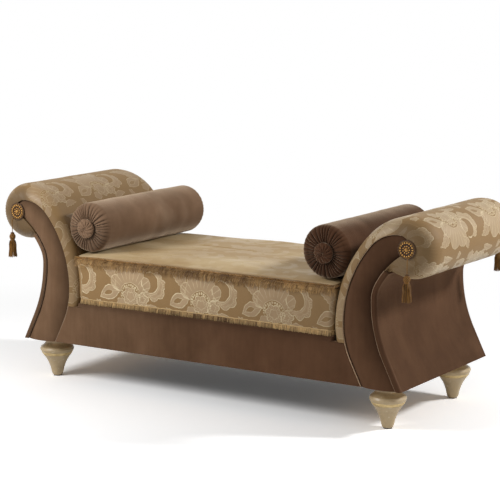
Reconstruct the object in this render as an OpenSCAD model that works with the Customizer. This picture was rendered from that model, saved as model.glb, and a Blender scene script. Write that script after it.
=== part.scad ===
// Recamier: a backless upholstered bench with two scrolled arms, a loose seat
// cushion, two loose bolsters and four tassels. X runs along the seat, the front
// looks along -Y, and the floor is at z = 0.

/* [Seat] */
// Distance between the waists of the two arms
seat_len = 1098.6; // [900:1:1300]
// Depth over the front and back faces
depth = 672; // [580:2:760]
// Height of the underside of the rails
base_z = 152; // [140:1:170]
// Height of the rails
rail_h = 130; // [110:1:140]
// Thickness of the rails
rail_t = 25; // [18:1:30]
// Thickness of the padded deck over the webbing
deck_t = 26.7; // [18:0.1:36]
// Height of the cushion's border
border_h = 179; // [120:1:190]
// Rise of the cushion's crown above its border
crown_h = 16; // [8:1:30]
// Distance over which the crown rises from the edge
crown_run = 110; // [60:1:150]
// How far the cushion's sides draw in between its corners
draw_in = 6; // [2:1:12]

/* [Arm] */
// Height of the arm's waist on the seat side
waist_z = 366; // [350:1:380]
// Radius of the long sweep above the waist
face_r = 448; // [420:1:480]
// Radius of the shoulder that runs into the scroll
shoulder_r = 200; // [180:1:230]
// Radius of the scroll
roll_r = 106; // [96:1:112]
// Angle of the long sweep
face_turn = 45; // [42:0.5:47]
// Angle from the top of the scroll to the tuck underneath
roll_turn = 215; // [205:1:220]
// Height of the lower end of the patterned cover
strip_z = 297; // [290:1:310]
// Thickness of the padding under the patterned cover
pad_t = 25; // [18:1:28]
// Rounding of the cover's edge beside the seat
edge_round = 25; // [12:1:30]
// Rounding of the scroll's ends
roll_round = 68; // [50:1:75]
// Thickness of the hardboard skin over the ribs
skin_t = 3; // [2:0.5:5]
// Thickness of the plywood ribs
rib_t = 18; // [12:1:25]
// Diameter of the stretchers between the ribs
dowel_d = 25; // [18:1:28]
// Thickness of the base board in each arm
board_t = 25; // [18:1:30]

/* [Facing] */
// Width of the patterned edge between the seat side and the facing
edge_w = 38; // [34:1:42]
// Width of the facing between its two waists
band_w = 110; // [90:1:120]
// Thickness of the facing in front of the ribs
band_t = 20; // [14:1:26]
// Crown of the facing
band_crown_h = 8; // [3:1:12]
// Radius of the facing's seat-side edge below the waist
skirt_r = 285; // [260:1:310]
// Angle of that lower curve
skirt_turn = 26.6; // [22:0.2:30]
// Angle of the facing's sweep above the waist
band_turn = 42; // [38:0.5:44]
// Radius of the facing's seat-side edge under the shoulder
band_top_r = 135; // [120:1:145]
// Radius of the facing's curl into the rosette
curl_r = 54; // [45:1:60]
// Angle of the facing's curl into the rosette
curl_turn = 41; // [35:1:45]
// Height of the outer waist above the seat-side waist
neck_rise = 89; // [80:1:100]
// Radius of the outer edge below its waist
back_r = 470; // [430:1:520]
// Angle of that lower curve
back_turn = 26.4; // [22:0.2:29]
// Radius of the outer edge just above its waist
neck_r = 115; // [105:1:125]
// Angle of the curve just above the waist
neck_turn = 28.5; // [25:0.5:32]
// Radius of the outer edge into the rosette
throat_r = 301.5; // [290:0.5:310]
// Angle of the curve into the rosette
throat_turn = 31.5; // [29:0.5:33]
// Width of the side panel's rounded front edge
side_lap = 17.5; // [14:0.5:20]
// Thickness of the side panel over the ribs
side_t = 8; // [5:0.5:10]
// Rounding of the side panel's front edge
side_round = 8; // [4:1:10]
// Angle of the side panel's top edge under the scroll
side_top_turn = 11.4; // [9:0.2:11.6]

/* [Rosette and tassel] */
// Radius of the rosette
rosette_r = 33.5; // [30:0.5:36]
// Thickness of the rosette's rim
rosette_t = 5; // [4:0.5:8]
// Distance of the rosette outside the scroll's axis
rosette_out = 7; // [4:1:9]
// Distance of the rosette above the scroll's axis
rosette_up = 3; // [1:1:5]
// Distance of the tassel outside the rosette's centre
tassel_out = 12; // [6:1:16]
// Diameter of the tassel's cord
cord_d = 3.6; // [3:0.2:4.4]
// Length of the straight part of the cord below its bend
cord_drop = 42; // [30:1:60]
// Radius of the bend where the cord turns down
cord_bend = 9; // [8:0.5:12]
// Radius of the tassel's head
tassel_head_r = 11; // [8:0.5:13]
// Height of the tassel's head
tassel_head_h = 32; // [24:1:40]
// Radius of the skirt at its hem
skirt_hem_r = 17; // [13:0.5:18]
// Height of the skirt
tassel_skirt_h = 64; // [50:1:80]

/* [Bolster] */
// Radius of the bolsters
bolster_r = 92; // [80:1:98]
// Length of the bolsters over their gathered ends
bolster_len = 640; // [540:2:700]
// Rounding of the bolsters' rims
bolster_round = 26; // [16:1:36]
// Number of pleats on each gathered end
pleats = 18; // [12:1:22]
// Depth of the pleats
pleat_depth = 4; // [2:0.5:6]
// Radius of the covered button
button_r = 38; // [30:1:44]
// Height of the covered button
button_h = 28; // [18:1:34]

/* [Feet] */
// Distance of the feet outside the seat-side waist
foot_out = 170.7; // [141:0.1:190]
// Distance of the feet behind the front face, and in front of the back face
foot_inset = 86; // [86:1:120]
// Largest radius of a foot
foot_r = 64.6; // [55:0.2:70]
// Thickness of the glide under a foot
glide_t = 3; // [2:0.5:6]
// Radius of the foot's bolt
bolt_r = 5; // [4:0.5:6]

/* [Hidden] */
$fn = 48;
// Clearance between padding and what it covers
fit = 0.3;
// Gap between the facing and its neighbours
seam = 0.5;
// Overrun of cuts
over = 2;
// Clearance of the loose cushions from the arms
loose = 1;
half = depth / 2;
waist_x = seat_len / 2;
rib_y = half - band_t;
rib_x = waist_x + pad_t + skin_t;
rail_top = base_z + rail_h;
// Feet under the base boards
foot_x = waist_x + foot_out;
foot_y = half - foot_inset;
web_t = 2;
web_w = 50;
web_count = 9;
long_web_count = 4;
deck_z = rail_top + 2 * web_t;
deck_top = deck_z + deck_t;
cushion_z = deck_top + fit;
edge_z = cushion_z + border_h;
ruche_w = 10;
ruche_h = 16;
shoulder_turn = 90 - face_turn;
strip_turn = asin((waist_z - strip_z) / (skirt_r + edge_w));
edge_x = waist_x + edge_w;
strip_x = edge_x + skirt_r - sqrt(skirt_r * skirt_r - pow(waist_z - strip_z, 2));
neck_x = edge_x + band_w;
neck_z = waist_z + neck_rise;
panel_top = deck_top - fit;
// Scroll axis, reached from the waist by the long sweep and the shoulder
roll_x = waist_x + face_r - (face_r - shoulder_r) * cos(face_turn);
roll_z = waist_z + (face_r - shoulder_r) * sin(face_turn) + shoulder_r - roll_r;
rosette_x = roll_x + rosette_out;
rosette_z = roll_z + rosette_up;
tassel_x = rosette_x + tassel_out;
// Place of the cord's exit on the rosette's rim, and of the hanging tassel
exit_share = 0.78;
exit_z = rosette_z - rosette_r * exit_share;
cord_lead = skirt_hem_r + loose + over - rosette_t - cord_bend;
tassel_y = half + rosette_t + cord_lead + cord_bend;
tassel_top = exit_z - cord_bend - cord_drop;
// Steepness of the cushion's crown
rise_power = 2.4;
// Loose bolster: it rests on the crown at this distance from the cushion's edge, and
// leans on the arm's long sweep
bolster_edge = 55;
bolster_rest = 0.6;
bolster_z = crown_z(bolster_edge) + bolster_r + bolster_rest;
bolster_x = waist_x + face_r - sqrt(pow(face_r + bolster_r + loose / 2, 2) - pow(bolster_z - waist_z, 2));
dowel_shares = [0.02, 0.24, 0.48, 0.68, 0.84];

// One step of a path: [radius, turn to the right, count] or, with no turn, [length, 0, 1]
function step_end(p, h, s) = s[1] == 0
    ? p + s[0] * [cos(h), sin(h)]
    : p + sign(s[1]) * s[0] * [sin(h) - sin(h - s[1]), cos(h - s[1]) - cos(h)];
// Points [x, z, heading] along a chain of steps
function walk(p, h, steps, i = 0) = i == len(steps) ? [] :
    let (s = steps[i], n = s[2])
    concat([for (k = [1:n]) let (part = s[1] == 0 ? [s[0] * k / n, 0] : [s[0], s[1] * k / n],
            q = step_end(p, h, part)) [q[0], q[1], h - part[1]]],
        walk(step_end(p, h, s), h - s[1], steps, i + 1));
function reversed(v) = [for (i = [len(v) - 1:-1:0]) v[i]];
// A path that was walked downwards, turned to run upwards
function upwards(v) = [for (w = reversed(v)) [w[0], w[1], w[2] + 180]];
// Points moved to the right of their heading by t
function beside(v, t) = [for (w = v) [w[0] + t * sin(w[2]), w[1] - t * cos(w[2])]];
function plan(v) = [for (w = v) [w[0], w[1]]];
function last(v) = v[len(v) - 1];
// Points of a path in X and Z, put at the depth y
function at_y(ring, y) = [for (p = ring) [p[0], y, p[1]]];
// Points whose first segment is lengthened or cut so that it starts at height z0
function grounded(v, z0) = concat(
    [[v[0][0] + (z0 - v[0][1]) * (v[1][0] - v[0][0]) / (v[1][1] - v[0][1]), z0]],
    [for (i = [1:len(v) - 1]) v[i]]);

// Length of a straight flare from a lower curve down to the rails' underside
function flare(z, turn) = (z - base_z) / cos(turn);
// Seat side of the arm and its scroll, from the strip's lower end to the tuck
face_low = upwards(walk([waist_x, waist_z], -90, [[skirt_r + edge_w, -strip_turn, 2]]));
sweep_steps = 8;
shoulder_steps = 6;
face_up = walk([waist_x, waist_z], 90, [[face_r, face_turn, sweep_steps],
    [shoulder_r, shoulder_turn, shoulder_steps], [roll_r, roll_turn, 18]]);
face_start = [waist_x, waist_z, 90];
face = concat(face_low, [face_start], face_up);
// Seat-side edge of the facing, from the rails' underside to the rosette
skirt_end_z = waist_z - skirt_r * sin(skirt_turn);
edge_low = upwards(walk([edge_x, waist_z], -90,
    [[skirt_r, -skirt_turn, 4], [flare(skirt_end_z, skirt_turn), 0, 1]]));
edge_up = walk([edge_x, waist_z], 90,
    [[face_r - edge_w, band_turn, 8], [band_top_r, 90 - band_turn, 6], [curl_r, curl_turn, 3]]);
edge = concat(edge_low, [[edge_x, waist_z, 90]], edge_up);
// Outer edge of the facing, from the rails' underside to the rosette
back_end_z = neck_z - back_r * sin(back_turn);
neck_low = upwards(walk([neck_x, neck_z], -90,
    [[back_r, -back_turn, 6], [flare(back_end_z, back_turn), 0, 1]]));
// The scroll's cover follows its last steps, from just above the side panel's top
tuck_steps = 7;
tuck_gap_turn = 0.4;
tuck_turn = side_top_turn + tuck_gap_turn;
neck_up = walk([neck_x, neck_z], 90,
    [[neck_r, neck_turn, 4], [throat_r, tuck_turn, 4], [throat_r, throat_turn - tuck_turn, tuck_steps]]);
neck = concat(neck_low, [[neck_x, neck_z, 90]], neck_up);
assert(len(neck) == len(edge), "the facing's two edges have as many points");
// The same edge up to the side panel's top under the scroll
side = concat(neck_low, [[neck_x, neck_z, 90]],
    walk([neck_x, neck_z], 90, [[neck_r, neck_turn, 4], [throat_r, side_top_turn, 2]]));

// Outline of the arm's core, between its padding and its side panel
function core_outline(t, s, z0) = concat([[waist_x + t, z0], [waist_x + t, waist_z]],
    beside(face_up, t), reversed(grounded(beside(side, s), z0)));

// Faces that close a ring of n points: its first half is laddered to its second half
function cap(n) = [for (i = [0:ceil(n / 2) - 2]) let (b = i + 1, c = n - 2 - i)
    b == c ? [i, b, c + 1] : [i, b, c, c + 1]];
// Solid between rings of equal length, the first ring clockwise as seen from outside.
// The strip between each ring's last and first points may have its diagonals turned.
module skin(rings, turn_last = false) {
    n = len(rings[0]);
    m = len(rings);
    polyhedron(points = [for (r = rings) each r],
        faces = concat(cap(n), [for (f = cap(n)) [for (i = reversed(f)) (m - 1) * n + i]],
            [for (k = [0:m - 2]) for (i = [0:n - 1])
                let (j = (i + 1) % n, a = k * n, b = (k + 1) * n)
                each turn_last && j == 0 ? [[a + i, b + i, a + j], [b + i, b + j, a + j]]
                    : [[a + i, b + i, b + j], [a + i, b + j, a + j]]]),
        convexity = 6);
}

// Outline in X and Z, extruded from y0 to y1
module plate(outline, y0, y1) {
    translate([0, y1, 0]) rotate([90, 0, 0]) linear_extrude(y1 - y0) polygon(outline);
}

module both_ends() {
    children();
    mirror([0, 1, 0]) children();
}

module four_feet() {
    for (sx = [-1, 1]) for (sy = [-1, 1]) translate([sx * foot_x, sy * foot_y, 0]) children();
}

// How far a rounded edge of radius r draws in at the distance d from the end face
function rounding(r, d) = d >= r ? 0 : r - sqrt(r * r - pow(r - d, 2));

// Base frame

module long_rail() {
    color("tan") translate([-rib_x, -rib_y, base_z]) cube([2 * rib_x, rail_t, rail_h]);
}
module front_rail() { long_rail(); }
module back_rail() { mirror([0, 1, 0]) long_rail(); }

module right_end_rail() {
    color("tan") translate([rib_x - rail_t, rail_t - rib_y, base_z])
        cube([rail_t, 2 * (rib_y - rail_t), rail_h + web_t]);
}
module left_end_rail() { mirror([1, 0, 0]) right_end_rail(); }

bearer_x_share = 0.36;
bearer_h_share = 0.7;
module cross_bearers() {
    color("tan") for (sx = [-1, 1])
        translate([sx * bearer_x_share * waist_x - rail_t / 2, rail_t - rib_y, base_z])
            cube([rail_t, 2 * (rib_y - rail_t), rail_h * bearer_h_share]);
}

block_leg = 55;
module corner_blocks() {
    color("tan") for (sx = [0, 1]) for (sy = [0, 1]) mirror([sx, 0, 0]) mirror([0, sy, 0])
        translate([rail_t - rib_x, rail_t - rib_y, base_z])
            linear_extrude(rail_h * bearer_h_share) polygon([[0, 0], [block_leg, 0], [0, block_leg]]);
}

module webbing_cross() {
    pitch = 2 * (rib_x - rail_t) / web_count;
    color("saddlebrown") for (i = [0:web_count - 1])
        translate([(i + 0.5) * pitch - rib_x + rail_t - web_w / 2, -rib_y, rail_top])
            cube([web_w, 2 * rib_y, web_t]);
}

module webbing_long() {
    pitch = 2 * (rib_y - rail_t) / long_web_count;
    color("saddlebrown") for (i = [0:long_web_count - 1])
        translate([-rib_x, (i + 0.5) * pitch - rib_y + rail_t - web_w / 2, rail_top + web_t])
            cube([2 * rib_x, web_w, web_t]);
}

module seat_deck() {
    color("gray") translate([loose - waist_x, seam - rib_y, deck_z])
        cube([2 * (waist_x - loose), 2 * (rib_y - seam), deck_t]);
}

cambric_t = 0.8;
module dust_cover() {
    color("black") translate([-rib_x, -rib_y, base_z - cambric_t])
        cube([2 * rib_x, 2 * rib_y, cambric_t]);
}

// Arm

board_out = grounded(beside(side, side_lap - side_t), base_z + board_t)[0][0] - fit;
module right_base_board() {
    color("tan") difference() {
        translate([rib_x, rib_t - rib_y, base_z]) cube([board_out - rib_x, 2 * (rib_y - rib_t), board_t]);
        for (sy = [-1, 1]) translate([foot_x, sy * foot_y, base_z - over])
            cylinder(r = nut_r + fit, h = board_t + 2 * over);
    }
}
module left_base_board() { mirror([1, 0, 0]) right_base_board(); }

// Three C-shaped ribs: the middle one stands on the base board
module right_ribs() {
    outline = core_outline(pad_t + skin_t, side_lap - side_t, base_z);
    color("burlywood") {
        both_ends() plate(outline, -rib_y, rib_t - rib_y);
        difference() {
            plate(outline, -rib_t / 2, rib_t / 2);
            translate([0, -rib_t, base_z - over]) cube([2 * foot_x, 2 * rib_t, board_t + over]);
        }
    }
}
module left_ribs() { mirror([1, 0, 0]) right_ribs(); }

// Stretchers just under the skin, in the two bays between the ribs
module right_arm_stretchers() {
    reach = pad_t + skin_t + seam + dowel_d / 2;
    path = beside(face_up, reach);
    color("burlywood") both_ends() for (s = dowel_shares) {
        p = path[round(s * (len(path) - 1))];
        translate([p[0], -rib_t / 2, p[1]]) rotate([90, 0, 0])
            cylinder(d = dowel_d, h = rib_y - rib_t * 3 / 2);
    }
}
module left_arm_stretchers() { mirror([1, 0, 0]) right_arm_stretchers(); }

// Bent hardboard over the ribs, from the deck up over the scroll
module right_arm_skin() {
    inner = concat([[rib_x, strip_z], [rib_x, waist_z]], beside(face_up, pad_t + skin_t));
    outer = concat([[rib_x - skin_t, strip_z], [rib_x - skin_t, waist_z]], beside(face_up, pad_t));
    color("peru") plate(concat(outer, reversed(inner)), -rib_y, rib_y);
}
module left_arm_skin() { mirror([1, 0, 0]) right_arm_skin(); }

// Patterned padding over the arm and its scroll. Its edge is softly rounded beside
// the seat, and the rounding grows along the sweep into the domed scroll end.
function round_at(h) = edge_round + (roll_round - edge_round) * min(1, max(0, 1 - h / 90));
// In front of the ribs the cover reaches to the facing: up its seat-side edge from
// the strip's end, across its tip under the rosette and down its outer edge
tip_steps = 8;
tip = [last(plan(edge)), last(plan(neck))];
// First point of the facing's edge that the cover follows above the strip's end
edge_from = 4;
facing_side = concat([[strip_x, strip_z]],
    [for (i = [edge_from:len(edge) - 1]) plan(edge)[i]],
    [for (i = [1:tip_steps]) tip[0] + i / tip_steps * (tip[1] - tip[0])],
    [for (i = [1:tuck_steps]) plan(neck)[len(neck) - 1 - i]]);
assert(len(facing_side) == len(face), "the cover's two sides have as many points");
// Least width of the cover's flat rim beside the facing, and the bevel of its lower end
rim_w = 2;
// Behind their front faces it is a shell over the skin
shell_x = waist_x + pad_t - fit;
skin_side = concat([[shell_x, strip_z + rim_w], [shell_x, face_low[1][1]], [shell_x, waist_z]],
    beside(face_up, pad_t - fit));
// The crest of the scroll, where the padded inside of the arm meets the scroll's cover
crest = len(face_low) + sweep_steps + shoulder_steps;
function before_crest(v) = [for (i = [0:crest]) v[i]];
function past_crest(v) = let (step = v[crest + 1] - v[crest])
    concat([v[crest] + fit * step / norm(step)], [for (i = [crest + 1:len(v) - 1]) v[i]]);
// The cover's rounding draws in towards the facing up to the crest, and square to the
// cover once it is this many points further round the scroll
turn_points = 6;
function inset_way(i) = let (h = min(90, face[i][2]), way = facing_side[i] - plan(face)[i],
    share = min(1, max(0, (i - crest) / turn_points)),
    mixed = (1 - share) * way / norm(way) + share * [sin(h), -cos(h)]) mixed / norm(mixed);
function cover_line(d) = [for (i = [0:len(face) - 1]) let (h = min(90, face[i][2]),
    room = norm(facing_side[i] - plan(face)[i]) - rim_w)
    plan(face)[i] + min(rounding(round_at(h), d), room) * inset_way(i)];
front_depth_shares = [0, 0.12, 0.45, 1];
deep_shares = [0, 0.25, 0.55, 1];
function flipped(rings) = [for (r = reversed(rings)) [for (p = r) [p[0], -p[1], p[2]]]];
// Rows of the cover at one end, each [depth, outer points, inner points]
cover_rows = concat(
    [for (s = front_depth_shares) let (d = s * band_t) [d, cover_line(d), facing_side]],
    [for (s = deep_shares) let (d = band_t + s * (roll_round - band_t)) [d, cover_line(d), skin_side]]);
module right_arm_cover() {
    rings = [for (r = cover_rows)
        at_y(concat(before_crest(r[1]), reversed(before_crest(r[2]))), r[0] - half)];
    color("darkkhaki") skin(concat(rings, flipped(rings)));
}
module left_arm_cover() { mirror([1, 0, 0]) right_arm_cover(); }
module right_scroll_cover() {
    rings = [for (r = cover_rows)
        at_y(concat(past_crest(r[1]), reversed(past_crest(r[2]))), r[0] - half)];
    color("darkkhaki") skin(concat(rings, flipped(rings)), turn_last = true);
}
module left_scroll_cover() { mirror([1, 0, 0]) right_scroll_cover(); }

// Velvet panel on the outside of the arm, wrapped round its front and back edges
function side_ring(d) = concat(grounded(beside(side, seam), base_z),
    reversed(grounded(beside(side, side_lap - rounding(side_round, d)), base_z)));
side_depth_shares = [0, 0.3, 1];
module right_side_panel() {
    rings = [for (s = side_depth_shares) at_y(side_ring(s * side_round), s * side_round - half)];
    color("saddlebrown") difference() {
        skin(concat(rings, flipped(rings)));
        plate(core_outline(pad_t - fit, side_lap - side_t + fit, base_z - over), -rib_y, rib_y);
    }
}
module left_side_panel() { mirror([1, 0, 0]) right_side_panel(); }

// C-shaped padded facing. Its cross-sections join the points of its two edges and
// are crowned.
across_shares = [0, 0.07, 0.25, 0.5, 0.75, 0.93, 1];
crown_power = 3;
module right_front_facing() {
    a_side = grounded(beside(edge, seam), base_z);
    b_side = grounded(beside(neck, -seam), base_z);
    rings = [for (k = [0:len(edge) - 1]) let (a = a_side[k], b = b_side[k])
        concat([for (u = across_shares) let (p = a + u * (b - a))
                [p[0], band_crown_h * pow(abs(2 * u - 1), crown_power) - half, p[1]]],
            [[b[0], -rib_y, b[1]], [a[0], -rib_y, a[1]]])];
    color("sienna") skin(rings);
}
module left_front_facing() { mirror([1, 0, 0]) right_front_facing(); }
module right_back_facing() { mirror([0, 1, 0]) right_front_facing(); }
module left_back_facing() { mirror([1, 0, 0]) right_back_facing(); }

// Padded rail panel between the two facings, with rounded edges. Under the strips
// its shoulders fall slightly outwards.
panel_round = 6;
panel_fall = 2;
function panel_ring(e) = let (
        ends = grounded(beside([for (w = edge_low) if (w[1] < strip_z) w], -seam - e), base_z + e),
        step_x = waist_x - loose - e,
        step_z = strip_z - seam - e,
        right = concat(ends, [[strip_x - seam - e, step_z - panel_fall], [step_x, step_z],
            [step_x, panel_top - e]]))
    concat([for (p = right) [-p[0], p[1]]], reversed(right));
// Rounding of the panel's edges: [depth, inset]
panel_edge_shares = [[0, 1], [0.5, 0.45], [1.5, 0]];
module front_panel() {
    color("saddlebrown") skin(concat(
        [for (s = panel_edge_shares) at_y(panel_ring(s[1] * panel_round), s[0] * panel_round - half)],
        [at_y(panel_ring(0), -rib_y)]));
}
module back_panel() { mirror([0, 1, 0]) front_panel(); }

// Rosettes and tassels

// Concentric corded rings round a domed centre, flat at the back
ring_shares = [0.9, 0.66, 0.42];
bead_share = 0.1;
dome_share = 0.35;
module right_front_rosette() {
    bead = rosette_r * bead_share;
    dome = rosette_r * dome_share;
    color("goldenrod") translate([rosette_x, -half, rosette_z]) rotate([90, 0, 0]) intersection() {
        union() {
            cylinder(r = rosette_r - bead / 2, h = rosette_t / 2);
            for (s = ring_shares) translate([0, 0, rosette_t - bead]) rotate_extrude()
                translate([rosette_r * s, 0]) circle(r = bead, $fn = 16);
            translate([0, 0, (rosette_t - dome) / 2]) sphere(r = dome);
        }
        cylinder(r = rosette_r, h = rosette_r);
    }
}
module left_front_rosette() { mirror([1, 0, 0]) right_front_rosette(); }
module right_back_rosette() { mirror([0, 1, 0]) right_front_rosette(); }
module left_back_rosette() { mirror([1, 0, 0]) right_back_rosette(); }

// Cord that leaves the rosette's rim, bends down and hangs straight to the tassel
cord_route = concat([[0, 0], [cord_lead / 2, 0], [cord_lead, 0]],
    [for (a = [15:15:90]) [cord_lead + cord_bend * sin(a), cord_bend * (cos(a) - 1)]],
    [for (s = [0.25:0.25:1]) [cord_lead + cord_bend, -cord_bend - s * cord_drop]]);
module right_front_cord() {
    r = cord_d / 2;
    n = len(cord_route);
    rings = [for (i = [0:n - 1])
        let (p = cord_route[i], d = cord_route[min(i + 1, n - 1)] - cord_route[max(i - 1, 0)],
            u = d / norm(d))
        [for (a = [0:45:315]) [tassel_x + r * sin(a), -half - rosette_t - fit - p[0] + r * cos(a) * u[1],
            exit_z + p[1] + r * cos(a) * u[0]]]];
    color("goldenrod") skin(rings);
}
module left_front_cord() { mirror([1, 0, 0]) right_front_cord(); }
module right_back_cord() { mirror([0, 1, 0]) right_front_cord(); }
module left_back_cord() { mirror([1, 0, 0]) right_back_cord(); }

// Tassel: a bound head over a flared skirt
head_shares = [[0, 1], [0.35, 1], [0.62, 0.93], [0.9, 0.8], [1, 0.62], [0.96, 0.42], [0.78, 0.24],
    [0.7, 0.16], [0.78, 0.08], [0.9, 0]];
hem_shares = [[0.62, 1], [0.78, 0.86], [0.86, 0.6], [0.93, 0.3], [1, 0], [0, 0]];
module right_front_tassel() {
    color("peru") translate([tassel_x, -tassel_y - fit, tassel_top - tassel_head_h - tassel_skirt_h])
        rotate_extrude() polygon(concat(
            [for (p = head_shares) [p[0] * tassel_head_r, tassel_skirt_h + p[1] * tassel_head_h]],
            [for (p = hem_shares) [p[0] * skirt_hem_r, p[1] * tassel_skirt_h]]));
}
module left_front_tassel() { mirror([1, 0, 0]) right_front_tassel(); }
module right_back_tassel() { mirror([0, 1, 0]) right_front_tassel(); }
module left_back_tassel() { mirror([1, 0, 0]) right_back_tassel(); }

// Feet

groove_low_share = 0.545;
groove_high_share = 0.625;
groove_r_share = 0.8;
// Turned profile as shares of the largest radius and of the height under the rails
foot_shares = [[0.24, 0], [0.3, 0.02], [0.35, 0.09], [0.4, 0.19], [0.5, 0.31], [0.6, 0.4],
    [0.7, 0.47], [0.78, 0.52], [0.83, groove_low_share]];
foot_top_shares = [[0.92, groove_high_share], [0.97, 0.65], [1, 0.69], [1, 0.71], [0.95, 0.755],
    [0.84, 0.79], [0.74, 0.83], [0.67, 0.87], [0.65, 0.93], [0.69, 0.97], [0.69, 1]];
function foot_point(s) = [s[0] * foot_r, glide_t + s[1] * (base_z - glide_t)];
groove_r = groove_r_share * foot_r;
bolt_low_share = 0.66;
bolt_low = bolt_low_share * base_z;
module front_left_foot() { foot_at(-1, -1); }
module front_right_foot() { foot_at(1, -1); }
module back_left_foot() { foot_at(-1, 1); }
module back_right_foot() { foot_at(1, 1); }
module foot_at(sx, sy) {
    color("antiquewhite") translate([sx * foot_x, sy * foot_y, 0]) difference() {
        rotate_extrude() polygon(concat([[0, glide_t]], [for (s = foot_shares) foot_point(s)],
            [[groove_r, foot_point(last(foot_shares))[1]], [groove_r, foot_point(foot_top_shares[0])[1]]],
            [for (s = foot_top_shares) foot_point(s)], [[0, base_z]]));
        translate([0, 0, bolt_low]) cylinder(r = bolt_r + fit / 2, h = base_z);
    }
}

// Gilt bead in the groove of each foot
module foot_rings() {
    low = foot_point(last(foot_shares));
    high = foot_point(foot_top_shares[0]);
    color("gold") four_feet() rotate_extrude() polygon([[groove_r + fit / 2, low[1] + fit / 2],
        [low[0] - fit, low[1] + fit / 2], [low[0] + over, (low[1] * 3 + high[1]) / 4],
        [high[0], (low[1] + high[1] * 3) / 4], [high[0] - fit, high[1] - fit / 2],
        [groove_r + fit / 2, high[1] - fit / 2]]);
}

module foot_glides() {
    color("dimgray") four_feet() cylinder(r = foot_shares[0][0] * foot_r, h = glide_t);
}

nut_r = 7;
flange_r = 14;
flange_t = 1.5;
module foot_bolts() {
    color("silver") four_feet() translate([0, 0, bolt_low])
        cylinder(r = bolt_r, h = base_z + board_t + flange_t - bolt_low);
}

// T-nuts that hold the bolts in the base boards
module foot_nuts() {
    color("silver") four_feet() translate([0, 0, base_z + over]) difference() {
        union() {
            cylinder(r = nut_r, h = board_t - over);
            translate([0, 0, board_t - over]) cylinder(r = flange_r, h = flange_t);
        }
        translate([0, 0, -over]) cylinder(r = bolt_r + fit / 2, h = board_t + 2 * over);
    }
}

// Seat cushion

// Height of the crown at the distance d from the cushion's edge
function crown_z(d) = edge_z + crown_h * (1 - pow(1 - min(1, d / crown_run), rise_power));
// Half-length of the cushion at height z: it stops short of the arm's sweep, and is
// no longer at any height than what can be lifted past the waist
function half_len(z) = waist_x - loose + (z <= waist_z ? 0 : face_r - sqrt(face_r * face_r - pow(z - waist_z, 2)));
side_shares = [0.015, 0.06, 0.2, 0.35, 0.5, 0.65, 0.8, 0.94, 0.985];
corner_shares = [1, 0.15, 0, 0, 0, 0, 0, 0.15, 1];
corner_in = 4.7;
// One side of the cushion's outline, from the corner (-a, -b) to the corner (a, -b)
function cushion_side(a, b, d) = [for (i = [0:len(side_shares) - 1]) let (s = side_shares[i])
    [(2 * s - 1) * (a - d), d - b + draw_in * 4 * s * (1 - s) + corner_in * corner_shares[i]]];
function turned(v, a) = [for (p = v) [p[0] * cos(a) - p[1] * sin(a), p[0] * sin(a) + p[1] * cos(a)]];
// Closed outline drawn in by d, level with height z
function cushion_ring(d, z) = let (a = half_len(z), b = half)
    [for (p = concat(cushion_side(a, b, d), turned(cushion_side(b, a, d), 90),
        turned(cushion_side(a, b, d), 180), turned(cushion_side(b, a, d), 270))) [p[0], p[1], z]];
// The crown keeps the outline of the border's top and closes towards a ridge
function crown_ring(d) = [for (p = cushion_ring(d, edge_z)) [p[0], p[1], crown_z(d)]];
crown_shares = [0.1, 0.25, 0.5, 0.95];
ridge_share = 0.9;
module seat_cushion() {
    // Two rebates hold the ruches, one round the lower edge and one round the top
    low = cushion_z + ruche_h;
    high = edge_z - ruche_h;
    color("darkkhaki") skin(concat(
        [cushion_ring(ruche_w, cushion_z), cushion_ring(ruche_w, low), cushion_ring(over, low),
            cushion_ring(0, low + ruche_h), cushion_ring(-over / 4, (low + high) / 2),
            cushion_ring(0, high - ruche_h), cushion_ring(over, high), cushion_ring(ruche_w, high),
            cushion_ring(ruche_w, edge_z - over)],
        [for (s = crown_shares) crown_ring(ruche_w + s * crown_run)],
        [crown_ring(half * ridge_share)]));
}

// Brush fringe round an edge of the cushion
module ruche(z) {
    inner = ruche_w - fit;
    color("peru") difference() {
        skin([cushion_ring(over / 2, z + fit), cushion_ring(0, z + ruche_h / 2),
            cushion_ring(over / 2, z + ruche_h - fit)]);
        skin([cushion_ring(inner, z - over), cushion_ring(inner, z + ruche_h + over)]);
    }
}
module bottom_ruche() { ruche(cushion_z); }
module top_ruche() { ruche(edge_z - ruche_h); }

// Bolsters

// End profile: [distance from the end, radius] from the button's seat out to the rim
well_depth = 4;
function bolster_ring(y, r, fold) = [for (i = [0:2 * pleats - 1])
    let (a = i * 180 / pleats) [r * sin(a), y + (i % 2 == 0 ? fold : 0), r * cos(a)]];
bolster_half = [for (s = [[well_depth, button_r - over, 0], [0, button_r + well_depth, 0.6],
        [0, (button_r + bolster_r - bolster_round) / 2, 1],
        [well_depth / 4, bolster_r - bolster_round, 0.7]])
    [s[0], s[1], s[2] * pleat_depth]];
module bolster() {
    rim = [for (a = [30:30:90]) [bolster_round * (1 - cos(a)), bolster_r - bolster_round * (1 - sin(a)),
        pleat_depth * cos(a) / 2]];
    stations = concat(bolster_half, rim);
    rings = concat([for (s = stations) bolster_ring(s[0] - bolster_len / 2, s[1], s[2])],
        [for (s = reversed(stations)) bolster_ring(bolster_len / 2 - s[0], s[1], -s[2])]);
    color("sienna") translate([bolster_x, 0, bolster_z]) skin(rings);
}
module right_bolster() { bolster(); }
module left_bolster() { mirror([1, 0, 0]) bolster(); }

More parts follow.
